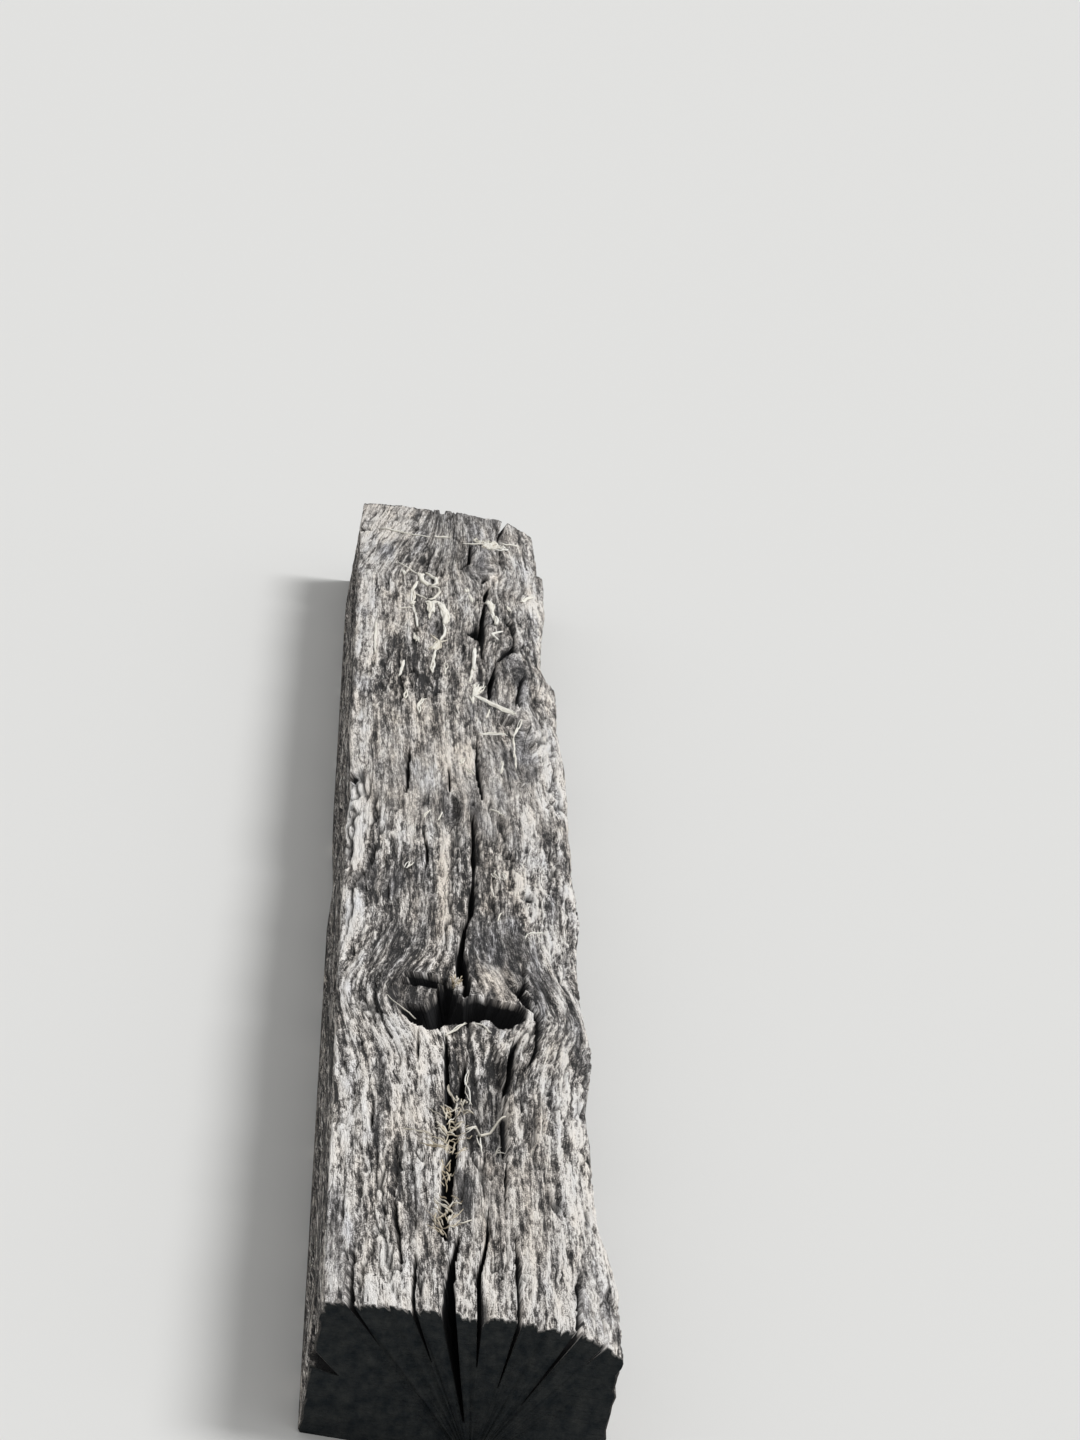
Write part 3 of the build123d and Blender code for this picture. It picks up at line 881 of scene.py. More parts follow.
@dataclass
class Litter:
    """Dead rootlets, straw, crumbs and chaff caught on the weathered top and in its splits.

    low is the place of the near end. Sizes are in millimetres. window is how far to
    each side a strand looks for the edge that it rests on, few the most strands of a
    tuft that still take its whole length, and deep the sink past which strands lie
    inside a hole.
    """

    timber: bpy.types.Object
    low: float
    tufts: tuple[Tuft, ...] = (
        # Check near the end, and the sunken strip
        Tuft(CHAFF, (165, 28), (236, 19), 9, 20, 1.9, 0, 0.45),
        Tuft(DEBRIS, (150, 30), (240, 20), 8, 22, 1.7, 1, 0.45),
        Tuft(DEBRIS, (235, 27), (325, 25), 6, 16, 1.7, 3, 0.35),
        Tuft(DEBRIS, (318, 24), (436, 19), 7, 34, 1.8, 1, 0.40),
        Tuft(CHAFF, (345, 23), (442, 17), 7, 16, 1.8, 0, 0.40),
        Tuft(STRAW, (444, 15), (480, 23), 1, 2, 1.8, -2, 0.05),
        Tuft(STRAW, (444, 14), (484, 12), 1, 2, 1.8, -2, 0.05),
        Tuft(STRAW, (442, 12), (474, 4), 1, 2, 1.8, -2, 0.05),
        Tuft(STRAW, (440, 12), (425, 0), 1, 2, 1.6, -2, 0.05),
        Tuft(ROOT, (470, 0), (548, 3), 1.5, 2, 1.8, 1, 0.06),
        Tuft(ROOT, (381, 7), (424, -29), 1.8, 3, 2.4, -1, 0.02),
        Tuft(ROOT, (359, -10), (402, -7), 1, 2, 2.4, 1, 0.05),
        Tuft(STRAW, (362, 37), (371, 63), 1.5, 2, 2, 0, 0.04),
        Tuft(ROOT, (342, -14), (352, -28), 3.4, 7, 1.3, 2, 0.25),
        # Knot hole
        Tuft(ROOT, (640, 51), (691, 79), 0.6, 1, 2.2, -2, 0.02),
        Tuft(STRAW, (665, 40), (690, 22), 4.8, 3, 1.5, 14, 0.05),
        Tuft(STRAW, (680, 30), (664, 20), 4.8, 3, 1.4, 14, 0.08),
        Tuft(ROOT, (636, -4), (634, -14), 0.6, 1, 2, -2, 0.05),
        Tuft(ROOT, (634, -13), (621, -20), 0.6, 1, 2, -2, 0.05),
        Tuft(ROOT, (638, 4), (604, 24), 2.4, 3, 1.4, -1, 0.06),
        Tuft(DEBRIS, (734, 13), (766, 10), 3.5, 18, 1.9, 0, 0.40),
        # Between the knot hole and the middle
        Tuft(ROOT, (894, -60), (914, -63), 0.6, 1, 2, 0, 0.04),
        Tuft(ROOT, (912, -62), (930, -80), 0.6, 1, 2, 0, 0.04),
        Tuft(ROOT, (1003, -32), (1028, -26), 0.6, 1, 2.4, 0, 0.05),
        Tuft(ROOT, (1062, 62), (1080, 56), 2.4, 3, 1.9, 0, 0.10),
        Tuft(ROOT, (934, -33), (965, -36), 0.8, 1, 2, 0, 0.05),
        Tuft(ROOT, (1060, -38), (1090, -36), 5.8, 7, 1.6, 0, 0.12),
        # Middle
        Tuft(ROOT, (1289, -31), (1276, -46), 1, 2, 2.4, 0, 0.03),
        Tuft(ROOT, (1422, -46), (1474, -49), 1, 2, 2.4, 0, 0.05),
        Tuft(ROOT, (1462, -65), (1522, -63), 1.2, 3, 2, 0, 0.03),
        Tuft(ROOT, (1404, -16), (1432, -4), 0.8, 2, 2.2, 0, 0.04),
        Tuft(ROOT, (1430, 0), (1464, -3), 3.4, 8, 1.8, 0, 0.10),
        Tuft(ROOT, (1226, 28), (1256, 22), 1, 2, 2, -1, 0.06),
        Tuft(ROOT, (1232, 42), (1262, 36), 1, 2, 2, 0, 0.06),
        # Past the middle
        Tuft(ROOT, (1500, -63), (1580, -65), 1, 3, 2, 0, 0.02),
        Tuft(ROOT, (1575, -64), (1654, -76), 1, 3, 2.5, 0, 0.03),
        Tuft(ROOT, (1714, -17), (1660, -68), 3, 24, 2.6, -0.5, 0.07),
        Tuft(ROOT, (1706, -16), (1768, -26), 5.2, 15, 2.5, 0, 0.12),
        Tuft(ROOT, (1674, -18), (1712, -16), 1.7, 7, 2.5, 0, 0.06),
        Tuft(ROOT, (1764, -15), (1845, -20), 1.1, 7, 2.1, 0, 0.03),
        Tuft(ROOT, (1756, 72), (1830, 65), 1, 2, 3.5, 0, 0.06),
        Tuft(ROOT, (1786, 30), (1842, 31), 1.2, 3, 3.1, 0, 0.06),
        Tuft(ROOT, (1784, 15), (1834, 14), 0.8, 2, 2.2, 0, 0.05),
        Tuft(ROOT, (1664, 64), (1700, 62), 0.8, 2, 3, 0, 0.05),
        Tuft(ROOT, (1614, 47), (1678, 44), 1.4, 3, 3, 0, 0.07),
        Tuft(ROOT, (1628, -32), (1666, -38), 0.8, 2, 2.8, 0, 0.05),
        Tuft(ROOT, (1560, -22), (1578, -56), 1, 2, 2.5, 0, 0.08),
        # Far third
        Tuft(ROOT, (2020, 34), (2101, 38), 1.8, 8, 2.8, -1, 0.04, ((2057, 32),)),
        Tuft(ROOT, (2099, 38), (2111, 20), 3.4, 20, 3.4, -1, 0.05),
        Tuft(ROOT, (2112, 21), (2000, 14), 4.4, 44, 3.8, -1.5, 0.03, ((2073, 14), (2030, 13))),
        Tuft(ROOT, (2104, 30), (2050, 31), 3.6, 24, 3.6, -1, 0.04),
        Tuft(ROOT, (2004, 15), (1932, 20), 1, 3, 3.1, -1, 0.02, ((1957, 15),)),
        Tuft(ROOT, (2197, 48), (2081, 57), 1.4, 3, 3.1, -1, 0.03, ((2150, 56), (2116, 54))),
        Tuft(ROOT, (2100, 52), (2082, 56), 2.3, 8, 2.8, -1, 0.10),
        Tuft(ROOT, (2134, 51), (2118, 36), 0.8, 2, 3, 0, 0.04),
        Tuft(ROOT, (2082, 55), (2036, 51), 1.4, 3, 2.5, 0, 0.04),
        Tuft(ROOT, (2036, 51), (1982, 49), 0.8, 2, 3.5, 0, 0.02),
        Tuft(ROOT, (2057, 73), (2067, 56), 0.8, 2, 2.8, 0, 0.05),
        Tuft(ROOT, (1957, 54), (1907, 48), 1.7, 7, 2.5, 0, 0.12),
        Tuft(ROOT, (2247, 38), (2178, 31), 2.2, 18, 3.6, -1, 0.02, ((2219, 24), (2194, 23))),
        Tuft(ROOT, (2244, 46), (2180, 33), 2.8, 24, 3.8, -1, 0.03, ((2206, 43),)),
        Tuft(ROOT, (2240, 40), (2226, 46), 1.7, 8, 3, -1, 0.05),
        Tuft(ROOT, (2178, 21), (2117, 34), 0.8, 2, 3.2, 0, 0.02, ((2156, 20), (2125, 27))),
        Tuft(ROOT, (2180, 30), (2174, 20), 0.8, 2, 3.5, 0, 0.02),
        Tuft(ROOT, (2281, 74), (2231, 46), 1.1, 3, 2.5, 0, 0.03, ((2253, 57),)),
        Tuft(ROOT, (2244, 68), (2222, 64), 1.7, 7, 2.2, 0, 0.10),
        Tuft(STRAW, (1951, 32), (1926, 21), 1.8, 8, 2.1, -0.5, 0.06),
        Tuft(STRAW, (1940, 10), (1924, 21), 1.6, 7, 2, -0.5, 0.06),
        Tuft(STRAW, (1936, 21), (1880, 33), 3.4, 24, 2.2, -0.5, 0.07, ((1901, 23),)),
        Tuft(ROOT, (1930, 20), (1886, 28), 2.8, 12, 2.6, -0.5, 0.06),
        Tuft(ROOT, (1884, 26), (1828, 31), 1.2, 3, 3.1, 0, 0.04),
        Tuft(ROOT, (2150, -41), (2081, -48), 3.4, 30, 3.9, -1, 0.03, ((2125, -47),)),
        Tuft(ROOT, (2100, -46), (2036, -52), 1.8, 15, 3.6, -1, 0.03, ((2064, -53),)),
        Tuft(ROOT, (2142, -68), (2120, -74), 1.8, 7, 2.5, 0, 0.06),
        Tuft(ROOT, (2014, -60), (1970, -54), 1, 3, 3, 0, 0.03, ((1995, -46),)),
        Tuft(ROOT, (2196, -18), (2174, -14), 2.9, 10, 2.8, 0, 0.08),
        Tuft(ROOT, (2170, -20), (2130, -22), 2.9, 7, 2.5, 0, 0.05),
        Tuft(ROOT, (1820, -20), (1920, -23), 2.2, 20, 3.8, -1, 0.02),
        Tuft(ROOT, (1850, 101), (1984, 101), 1, 3, 2.4, 0, 0.02),
        Tuft(ROOT, (2182, -88), (2252, -110), 2.3, 8, 2.2, 0, 0.05),
        Tuft(ROOT, (2456, 100), (2434, 58), 2.5, 10, 2.1, -1, 0.06),
        Tuft(ROOT, (2436, 60), (2430, 30), 1, 2, 2, -1, 0.05),
        Tuft(ROOT, (2434, 26), (2446, -2), 2.9, 7, 1.9, -1, 0.10),
        Tuft(ROOT, (2424, -14), (2436, -46), 1, 2, 2.2, -1, 0.05),
        Tuft(ROOT, (2412, -50), (2470, -56), 6.9, 24, 2.5, -0.5, 0.35),
        Tuft(STRAW, (2410, -48), (2468, -54), 6.9, 14, 1.6, -0.5, 0.35),
        Tuft(ROOT, (2460, -68), (2476, -92), 2.4, 3, 2.1, -1, 0.08),
    )
    sides: int = 5
    rings: int = 13
    window: float = 10.0
    few: int = 3
    deep: float = 2.0
    seed: int = 5

    def __post_init__(self) -> None:
        """Make the search tree over the timber and the source of chance."""
        self.ground = search_tree(self.timber.data)
        self.chance = np.random.default_rng(self.seed)

    def _level(self, x: float, y: float) -> float:
        """Height in millimetres of the timber's top under a point, or 0 beside the timber."""
        hit = self.ground.ray_cast(Vector((x * MM, y * MM, 0.3)), Vector((0, 0, -1)))
        return 0.0 if hit[0] is None else hit[0].z / MM

    def _path(self, tuft: Tuft) -> np.ndarray:
        """Middle line of one strand of a tuft.

        Args:
            tuft: The tuft that the strand belongs to.

        Returns:
            Points in millimetres.
        """
        corners, reached = tuft.course()
        length = float(reached[-1])
        habit = HABITS[tuft.kind]
        share = self.chance.uniform(*habit.share)
        if tuft.count <= self.few:
            share = 1.0
        place = self.chance.uniform(0.0, 1.0 - share) * length
        side = self.chance.normal(0.0, tuft.spread * 0.5)
        heading = self.chance.normal(0.0, tuft.wander * 2.0)
        step = length * share / (self.rings - 1)
        points = []
        for _ in range(self.rings):
            behind, at, ahead = (
                np.array([np.interp(place + shift, reached, corners[:, axis]) for axis in (0, 1)])
                for shift in (-4, 0, 4)
            )
            way = ahead - behind
            way = way / max(float(np.linalg.norm(way)), 1e-6)
            points.append((at[0] - way[1] * side + self.low, at[1] + way[0] * side))
            home = habit.home * side / max(tuft.spread, 1.0)
            heading = habit.keep * heading + self.chance.normal(0.0, tuft.wander * habit.stray) - home
            place += step * math.cos(heading)
            side += step * math.sin(heading)
        flat = np.array(points)
        return np.column_stack([flat, self._heights(tuft, flat)])

    def _heights(self, tuft: Tuft, flat: np.ndarray) -> np.ndarray:
        """Heights of one strand over its course.

        Args:
            tuft: The tuft that the strand belongs to.
            flat: Places along and across of the strand's points.

        Returns:
            Heights in millimetres.
        """
        sides = (-self.window, self.window)
        reach = np.array([max(self._level(x, y + side) for side in sides) for x, y in flat])
        floor = np.array([self._level(x, y) for x, y in flat])
        if tuft.sink > self.deep:
            lift = self.chance.uniform(0.0, tuft.sink * 0.6, len(flat))
            level = np.maximum(reach - tuft.sink + np.sort(lift), floor)
        else:
            level = np.maximum(reach - 1.5, floor)
            wide = np.pad(level, 1, mode="edge")
            level = np.maximum(level, (wide[:-2] + wide[2:]) / 2)
        settled = min(tuft.sink, self.deep) * 0.4
        return level - settled + self.chance.uniform(0.05, 0.25) * tuft.thick

    def _strand(self, path: np.ndarray, thick: float) -> bpy.types.Mesh:
        """Tapered closed tube along a path.

        Args:
            path: Points of its middle line, in millimetres.
            thick: Diameter at its thickest.

        Returns:
            The tube.
        """
        tube = bmesh.new()
        bmesh.ops.create_circle(tube, cap_ends=False, segments=self.sides, radius=0.5 * MM)
        loop = list(tube.edges)
        ring = list(tube.verts)
        last = len(path) - 1
        for k in range(last + 1):
            if k:
                grown = bmesh.ops.extrude_edge_only(tube, edges=loop)["geom"]
                ring = [item for item in grown if isinstance(item, bmesh.types.BMVert)]
                loop = [item for item in grown if isinstance(item, bmesh.types.BMEdge)]
            ahead = Vector(path[min(k + 1, last)] - path[max(k - 1, 0)]).normalized()
            width = thick * (0.35 + 0.65 * math.sin(math.pi * (0.12 + 0.80 * k / last)))
            turn = ahead.to_track_quat("Z", "Y").to_matrix().to_4x4()
            place = Matrix.Translation(Vector(path[k]) * MM) @ turn
            for n, vert in enumerate(ring):
                angle = 2 * math.pi * n / self.sides
                local = Vector((math.cos(angle), math.sin(angle), 0.0)) * (width / 2 * MM)
                vert.co = place @ local
        rims = [edge for edge in tube.edges if edge.is_boundary]
        bmesh.ops.holes_fill(tube, edges=rims, sides=0)
        bmesh.ops.recalc_face_normals(tube, faces=tube.faces)
        for face in tube.faces:
            face.smooth = len(face.verts) == 4
        scrap = bpy.data.meshes.new("strand")
        tube.to_mesh(scrap)
        tube.free()
        return scrap

    def build(self) -> bpy.types.Object:
        """Build all the litter as one mesh.

        Returns:
            The litter, in place in the frame.
        """
        pile = bmesh.new()
        shade = pile.verts.layers.float.new("shade")
        brown = pile.verts.layers.float.new("brown")
        for tuft in self.tufts:
            habit = HABITS[tuft.kind]
            for _ in range(tuft.count):
                thick = tuft.thick * self.chance.uniform(0.55, 1.1)
                strand = self._strand(self._path(tuft), thick)
                before = len(pile.verts)
                pile.from_mesh(strand)
                bpy.data.meshes.remove(strand)
                pile.verts.ensure_lookup_table()
                tone = self.chance.uniform(0.0, 1.0)
                tint = habit.brown + self.chance.uniform(-0.15, habit.stain)
                for vert in pile.verts[before:]:
                    vert[shade] = tone
                    vert[brown] = tint
        LOG.info("litter: %d faces", len(pile.faces))
        return place_shape("root_litter", pile)


@dataclass
class NodeBench:
    """Short ways to build a material's nodes."""

    tree: bpy.types.NodeTree

    def value(self, name: str) -> bpy.types.NodeSocket:
        """Socket with one stored value of the mesh.

        Args:
            name: Name of the value.

        Returns:
            The socket.
        """
        node = self.tree.nodes.new("ShaderNodeAttribute")
        node.attribute_name = name
        return node.outputs["Fac"]

    def sums(self, kind: str, *items: object) -> bpy.types.NodeSocket:
        """Result of a Math node.

        Args:
            kind: The node's operation.
            items: Numbers or sockets that go into it.

        Returns:
            The result.
        """
        node = self.tree.nodes.new("ShaderNodeMath")
        node.operation = kind
        for slot, item in zip(node.inputs, items):
            if isinstance(item, (int, float)):
                slot.default_value = item
            else:
                self.tree.links.new(item, slot)
        return node.outputs[0]

    def total(self, *parts: tuple) -> bpy.types.NodeSocket:
        """Sum of values, each times its weight.

        Args:
            parts: Pairs of a socket and its weight.

        Returns:
            The sum.
        """
        result = self.sums("MULTIPLY", parts[0][0], parts[0][1])
        for source, weight in parts[1:]:
            result = self.sums("MULTIPLY_ADD", source, weight, result)
        return result

    def stretched(self, along: str, across: str, scales: tuple[float, float]) -> bpy.types.NodeSocket:
        """Coordinates from two stored values, each times its own scale.

        Args:
            along: Name of the value along the fibres.
            across: Name of the value across them.
            scales: Pattern steps per metre along and across.

        Returns:
            The coordinates.
        """
        node = self.tree.nodes.new("ShaderNodeCombineXYZ")
        self.tree.links.new(self.sums("MULTIPLY", self.value(along), scales[0]), node.inputs[0])
        self.tree.links.new(self.sums("MULTIPLY", self.value(across), scales[1]), node.inputs[1])
        return node.outputs[0]

    def noise(self, scales: tuple[float, float], detail: float, rough: float,
              warp: float = 0.0) -> bpy.types.NodeSocket:
        """Noise stretched along the fibre, about 0 in its middle.

        Args:
            scales: Pattern steps per metre along and across.
            detail: Octaves of finer noise.
            rough: Strength of the finer octaves.
            warp: Distortion of the pattern.

        Returns:
            The noise.
        """
        node = self.tree.nodes.new("ShaderNodeTexNoise")
        node.inputs["Scale"].default_value = 1.0
        node.inputs["Detail"].default_value = detail
        node.inputs["Roughness"].default_value = rough
        node.inputs["Distortion"].default_value = warp
        self.tree.links.new(self.stretched("along", "fibre", scales), node.inputs["Vector"])
        return self.sums("SUBTRACT", node.outputs[0], 0.5)

    def ramp(self, source: bpy.types.NodeSocket, stops: tuple) -> bpy.types.NodeSocket:
        """Colour ramp of a value.

        Args:
            source: The value.
            stops: Pairs of a place and a colour.

        Returns:
            The colour.
        """
        node = self.tree.nodes.new("ShaderNodeValToRGB")
        while len(node.color_ramp.elements) < len(stops):
            node.color_ramp.elements.new(0.5)
        for element, (at, colour) in zip(node.color_ramp.elements, stops):
            element.position = at
            element.color = colour
        self.tree.links.new(source, node.inputs[0])
        return node.outputs[0]

    def blend(self, share: object, first: object, second: object, how: str = "MIX") -> bpy.types.NodeSocket:
        """Mix of two colours.

        Args:
            share: How much of the second colour there is.
            first: Colour or socket.
            second: Colour or socket.
            how: Way that the two are mixed.

        Returns:
            The mixed colour.
        """
        node = self.tree.nodes.new("ShaderNodeMix")
        node.data_type = "RGBA"
        node.blend_type = how
        for slot, item in zip((node.inputs[0], node.inputs[6], node.inputs[7]), (share, first, second)):
            if isinstance(item, (int, float, tuple)):
                slot.default_value = item
            else:
                self.tree.links.new(item, slot)
        return node.outputs[2]

    def limit(self, source: bpy.types.NodeSocket, low: float, high: float) -> bpy.types.NodeSocket:
        """Value mapped from two limits to 0 and 1 and held there.

        Args:
            source: The value.
            low: Where the result is 0.
            high: Where the result is 1.

        Returns:
            The result.
        """
        node = self.tree.nodes.new("ShaderNodeMapRange")
        node.inputs["From Min"].default_value = low
        node.inputs["From Max"].default_value = high
        self.tree.links.new(source, node.inputs["Value"])
        return node.outputs[0]


def plain_shader(name: str, roughness: float) -> tuple[bpy.types.Material, NodeBench, bpy.types.Node]:
    """Material with one shader and nothing linked to it yet.

    Args:
        name: Name of the material.
        roughness: Roughness of the shader.

    Returns:
        The material, a bench for its nodes, and the shader.
    """
    made = bpy.data.materials.new(name)
    made.use_nodes = True
    tree = made.node_tree
    tree.nodes.clear()
    out = tree.nodes.new("ShaderNodeOutputMaterial")
    shader = tree.nodes.new("ShaderNodeBsdfPrincipled")
    shader.inputs["Roughness"].default_value = roughness
    shader.inputs["Specular IOR Level"].default_value = SPECULAR_LEVEL
    tree.links.new(shader.outputs[0], out.inputs[0])
    return made, NodeBench(tree), shader


@dataclass(frozen=True)
class WoodFinish:
    """Old weathered softwood with dark preservative on its ends.

    stops are the wood's greys from dark to bleached, and middle the place among them
    of plain wood. plain is how strongly the grain shows without contrast, and rough
    what full contrast adds. The shades are what tone, the hairline splits and the
    painted shade in the furrows add, dark the depths in millimetres at which painted
    shade in a hollow begins and is wholly black, split_dark how black the painted
    shade in the relief's splits is, and bump_height is in metres. layers are the
    grain's noises, from broad bands to specks: pattern steps per metre along and
    across, octaves, roughness, distortion and weight. chips is the weight of its
    torn-out chips. The preservative's near-blacks on the ends carry a painted
    blue-green skylight tint.
    """

    layers: tuple[tuple[tuple[float, float], int, float, float, float], ...] = (
        ((6, 105), 2, 0.5, 0.0, 1.7),
        ((19, 280), 3, 0.62, 0.1, 1.9),
        ((95, 980), 2, 0.6, 0.0, 1.0),
        ((58, 250), 3, 0.72, 0.3, 1.5),
        ((420, 700), 2, 0.6, 0.0, 1.2),
    )
    chips: float = 0.24
    roughness: float = 0.86
    middle: float = 0.67
    plain: float = 0.29
    rough: float = 0.96
    tone_shade: float = 0.53
    furrow_shade: float = -0.26
    hair_shade: float = -0.45
    dark: tuple[float, float] = (1.5, 7.5)
    split_dark: float = 0.85
    bump: float = 0.9
    bump_height: float = 0.0022
    # Near-black of the painted shade in hollows and splits.
    black: tuple[float, float, float, float] = (0.006, 0.006, 0.007, 1)
    stops: tuple = (
        (0.02, (0.026, 0.026, 0.027, 1)),
        (0.20, (0.088, 0.084, 0.082, 1)),
        (0.40, (0.218, 0.209, 0.203, 1)),
        (0.58, (0.445, 0.430, 0.418, 1)),
        (0.76, (0.785, 0.766, 0.745, 1)),
        (0.95, (0.960, 0.950, 0.930, 1)),
    )
    cool: tuple[float, float, float, float] = (0.945, 0.965, 1.035, 1)
    even: tuple[float, float, float, float] = (1.0, 0.985, 0.975, 1)
    warm: tuple[float, float, float, float] = (1.06, 0.985, 0.90, 1)
    # Near-black preservative of the ends, partly real and partly a painted blue-green skylight tint.
    tar_and_skylight_tint: tuple[float, float, float, float] = (0.007, 0.011, 0.014, 1)
    worn_tar_and_skylight_tint: tuple[float, float, float, float] = (0.040, 0.043, 0.042, 1)

    def material(self) -> bpy.types.Material:
        """Build the timber's material.

        Returns:
            The material.
        """
        made, bench, shader = plain_shader("weathered_timber", self.roughness)
        layers = [(bench.noise(*layer[:-1]), layer[-1]) for layer in self.layers]
        chips = bench.limit(bench.noise((44, 200), 3, 0.75, 0.4), -0.035, 0.035)
        chips = bench.sums("SUBTRACT", chips, 0.5)
        grain = bench.total(*layers, (chips, self.chips))
        strength = bench.sums("MULTIPLY_ADD", bench.value("contrast"), self.rough, self.plain)
        level = bench.sums("MULTIPLY_ADD", grain, strength, self.middle)
        level = bench.sums("MULTIPLY_ADD", bench.value("tone"), self.tone_shade, level)
        # Painted shade: the relief's furrows are darkened in the colour.
        groove_shade = bench.sums("MULTIPLY", strength, self.furrow_shade)
        furrow_painted_shade = bench.sums("MULTIPLY", bench.value("furrow_painted_shade"), groove_shade)
        level = bench.sums("ADD", level, furrow_painted_shade)
        hair = bench.noise((4.2, 88), 1, 0.4, 0.15)
        hair = bench.limit(bench.sums("ABSOLUTE", hair), 0.010, 0.003)
        where = bench.limit(bench.noise((7, 34), 1, 0.5), 0.0, 0.06)
        level = bench.sums("MULTIPLY_ADD", bench.sums("MULTIPLY", hair, where), self.hair_shade, level)
        wood = bench.ramp(level, self.stops)
        lean = bench.total((bench.value("warmth"), 0.5), (bench.noise((9, 60), 2, 0.6), 1.2))
        casts = ((0.0, self.cool), (0.45, self.even), (1.0, self.warm))
        tint = bench.ramp(bench.sums("ADD", lean, 0.5), casts)
        wood = bench.blend(1.0, wood, tint, "MULTIPLY")
        # Painted shade: hollows deeper than the light reaches turn black.
        deep = bench.limit(bench.value("shaded"), *self.dark)
        # Painted shade in the relief's fine splits.
        split_shade = bench.sums("MULTIPLY", bench.value("split_shade"), self.split_dark)
        hollow = bench.sums("MAXIMUM", deep, split_shade)
        wood = bench.blend(hollow, wood, self.black)
        # Ends: near-black preservative with a painted blue-green skylight tint.
        ends = bench.noise((90, 90), 4, 0.6)
        ends = bench.ramp(bench.sums("ADD", ends, 0.5), ((0.35, self.tar_and_skylight_tint), (0.75, self.worn_tar_and_skylight_tint)))
        colour = bench.blend(bench.value("end"), wood, ends)
        bench.tree.links.new(colour, shader.inputs["Base Color"])
        bump = bench.tree.nodes.new("ShaderNodeBump")
        bump.inputs["Strength"].default_value = self.bump
        bump.inputs["Distance"].default_value = self.bump_height
        bench.tree.links.new(bench.total((grain, 0.8), (hair, -0.3)), bump.inputs["Height"])
        bench.tree.links.new(bump.outputs[0], shader.inputs["Normal"])
        return made


@dataclass(frozen=True)
class LitterFinish:
    """Pale dead rootlets and browner straw, mottled by a noise of so many steps per metre."""

    roughness: float = 0.8
    mottle: float = 180.0
    pale: tuple = ((0.0, (0.86, 0.82, 0.72, 1)), (1.0, (0.98, 0.97, 0.92, 1)))
    straw: tuple = ((0.0, (0.20, 0.145, 0.090, 1)), (1.0, (0.72, 0.62, 0.44, 1)))

    def material(self) -> bpy.types.Material:
        """Build the litter's material.

        Returns:
            The material.
        """
        made, bench, shader = plain_shader("dead_roots", self.roughness)
        node = bench.tree.nodes.new("ShaderNodeTexNoise")
        node.inputs["Scale"].default_value = self.mottle
        where = bench.tree.nodes.new("ShaderNodeTexCoord")
        bench.tree.links.new(where.outputs["Object"], node.inputs["Vector"])
        level = bench.total((bench.value("shade"), 0.75), (node.outputs[0], 0.35))
        pale, straw = bench.ramp(level, self.pale), bench.ramp(level, self.straw)
        colour = bench.blend(bench.value("brown"), pale, straw)
        bench.tree.links.new(colour, shader.inputs["Base Color"])
        return made


@dataclass
class Viewpoint:
    """Camera at the photograph's viewing angle.

    place is in metres and lens in millimetres. pitch is how far it looks down, turn
    how far to the left of the timber's length, and roll how far it leans, in degrees.
    """

    place: tuple[float, float, float] = (-4.2675, 0.3156, 1.5146)
    pitch: float = 16.614
    turn: float = -5.103
    roll: float = 11.632
    lens: float = 102.18

    def build(self) -> bpy.types.Object:
        """Place the camera.

        Returns:
            The camera.
        """
        pitch, turn, roll = (math.radians(a) for a in (self.pitch, self.turn, self.roll))
        ahead = Vector((math.cos(pitch) * math.cos(turn), math.cos(pitch) * math.sin(turn), -math.sin(pitch)))
        level = ahead.cross(Vector((0, 0, 1))).normalized()
        up = level.cross(ahead)
        right = level * math.cos(roll) + up * math.sin(roll)
        up = right.cross(ahead)
        data = bpy.data.cameras.new("camera")
        data.sensor_width = 36
        data.sensor_fit = "AUTO"
        data.lens = self.lens
        data.clip_end = 50
        camera = link_object("camera", data)
        axes = Matrix((right, up, -ahead)).transposed().to_4x4()
        camera.matrix_world = Matrix.Translation(self.place) @ axes
        bpy.context.scene.camera = camera
        return camera


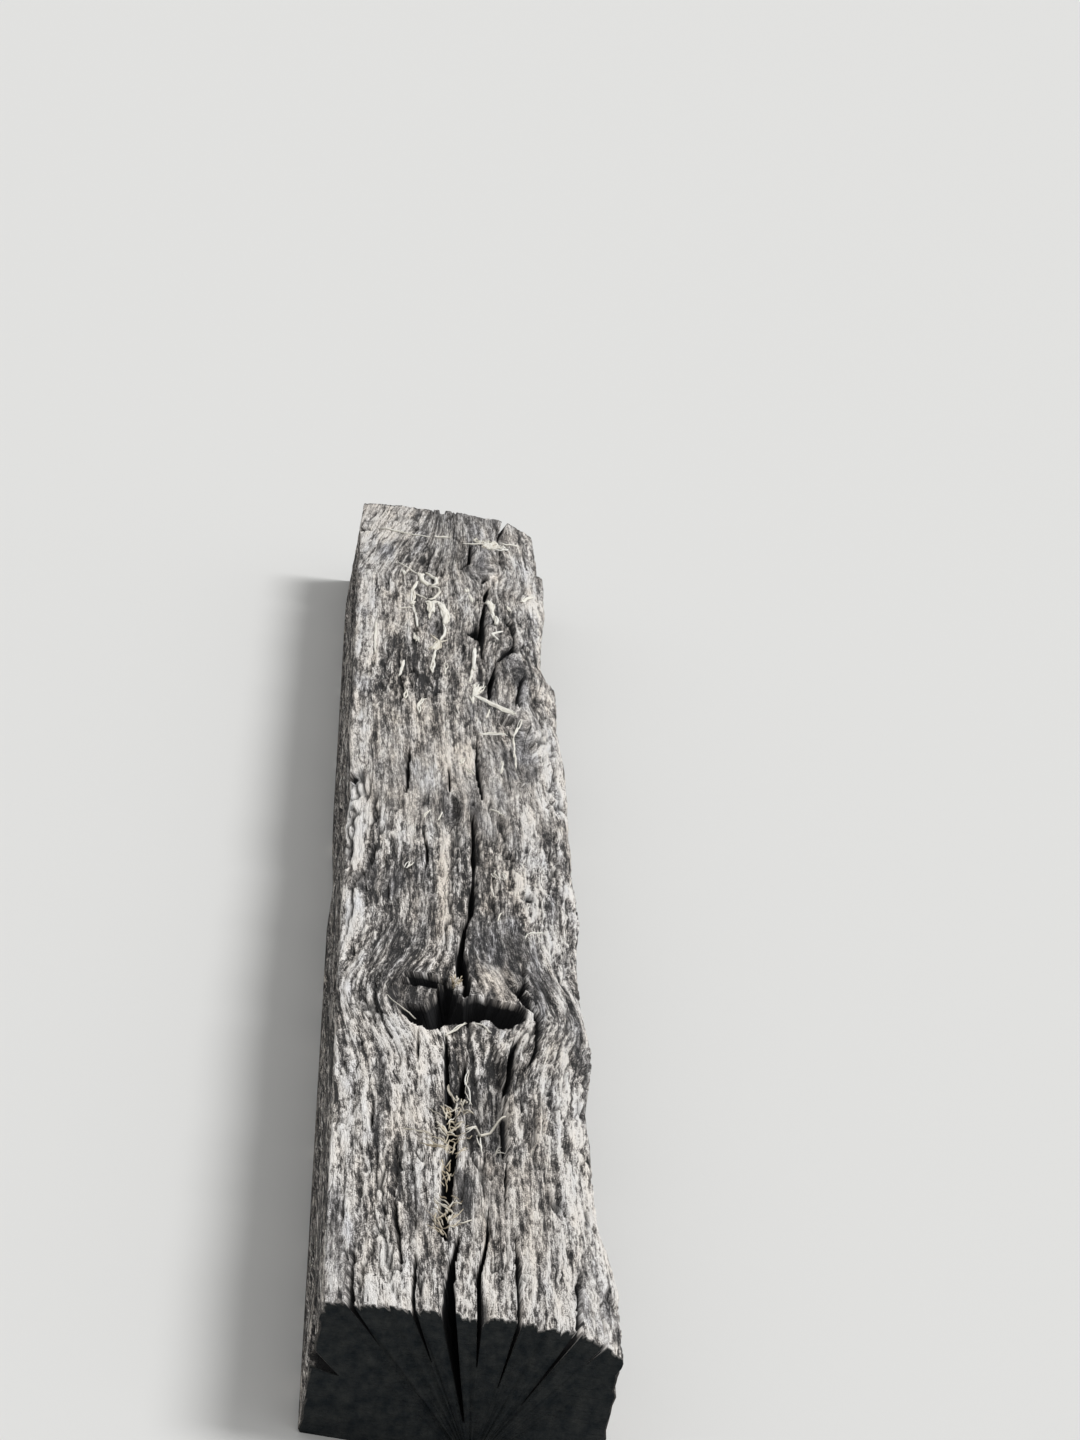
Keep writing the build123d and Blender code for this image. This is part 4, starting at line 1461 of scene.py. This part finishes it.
@dataclass
class Studio:
    """Pale floor and soft light.

    floor_size is in metres, key_way the way the light falls, key_spread its softness
    in degrees, sky the strength of the light from all round, and backdrop how bright
    the sky looks to the camera.
    """

    floor_size: float = 60.0
    floor_colour: tuple[float, float, float, float] = (0.78, 0.78, 0.77, 1)
    floor_roughness: float = 0.9
    sky_colour: tuple[float, float, float, float] = (1, 1, 0.99, 1)
    sky: float = 0.47
    backdrop: float = 0.76
    key_strength: float = 1.95
    key_way: tuple[float, float, float] = (-0.35, 0.75, -1.05)
    key_spread: float = 24.0

    def build(self) -> None:
        """Lay the floor and set the light."""
        shape = bmesh.new()
        bmesh.ops.create_grid(shape, x_segments=1, y_segments=1, size=self.floor_size / 2)
        floor = place_shape("studio_floor", shape)
        material, _, shader = plain_shader("studio_floor", self.floor_roughness)
        shader.inputs["Base Color"].default_value = self.floor_colour
        floor.data.materials.append(material)
        data = bpy.data.lights.new("soft_key", "SUN")
        data.energy = self.key_strength
        data.angle = math.radians(self.key_spread)
        lamp = link_object("soft_key", data)
        lamp.rotation_euler = Vector(self.key_way).to_track_quat("-Z", "Y").to_euler()
        world = bpy.data.worlds.new("studio")
        world.use_nodes = True
        bench = NodeBench(world.node_tree)
        path = world.node_tree.nodes.new("ShaderNodeLightPath").outputs
        seen = bench.sums("MAXIMUM", path["Is Camera Ray"], path["Is Glossy Ray"])
        seen = bench.sums("MAXIMUM", seen, path["Is Transmission Ray"])
        background = world.node_tree.nodes["Background"]
        background.inputs[0].default_value = self.sky_colour
        strength = bench.sums("MULTIPLY_ADD", seen, self.backdrop - self.sky, self.sky)
        world.node_tree.links.new(strength, background.inputs[1])
        bpy.context.scene.world = world


def main() -> None:
    """Build the timber, its litter, its light and the camera in order."""
    logging.basicConfig(level=logging.INFO)
    bpy.context.scene.view_settings.view_transform = "Standard"
    timber = Timber().build()
    timber.data.materials.append(WoodFinish().material())
    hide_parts(NODE)
    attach(timber, "root")
    LOG.info("timber built")
    litter = Litter(timber, CAD_BOX[0][0] / MM).build()
    litter.data.materials.append(LitterFinish().material())
    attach(litter, "root")
    LOG.info("litter laid")
    Studio().build()
    LOG.info("studio built")
    Viewpoint().build()
    LOG.info("camera placed")


if __name__ == "__main__":
    main()
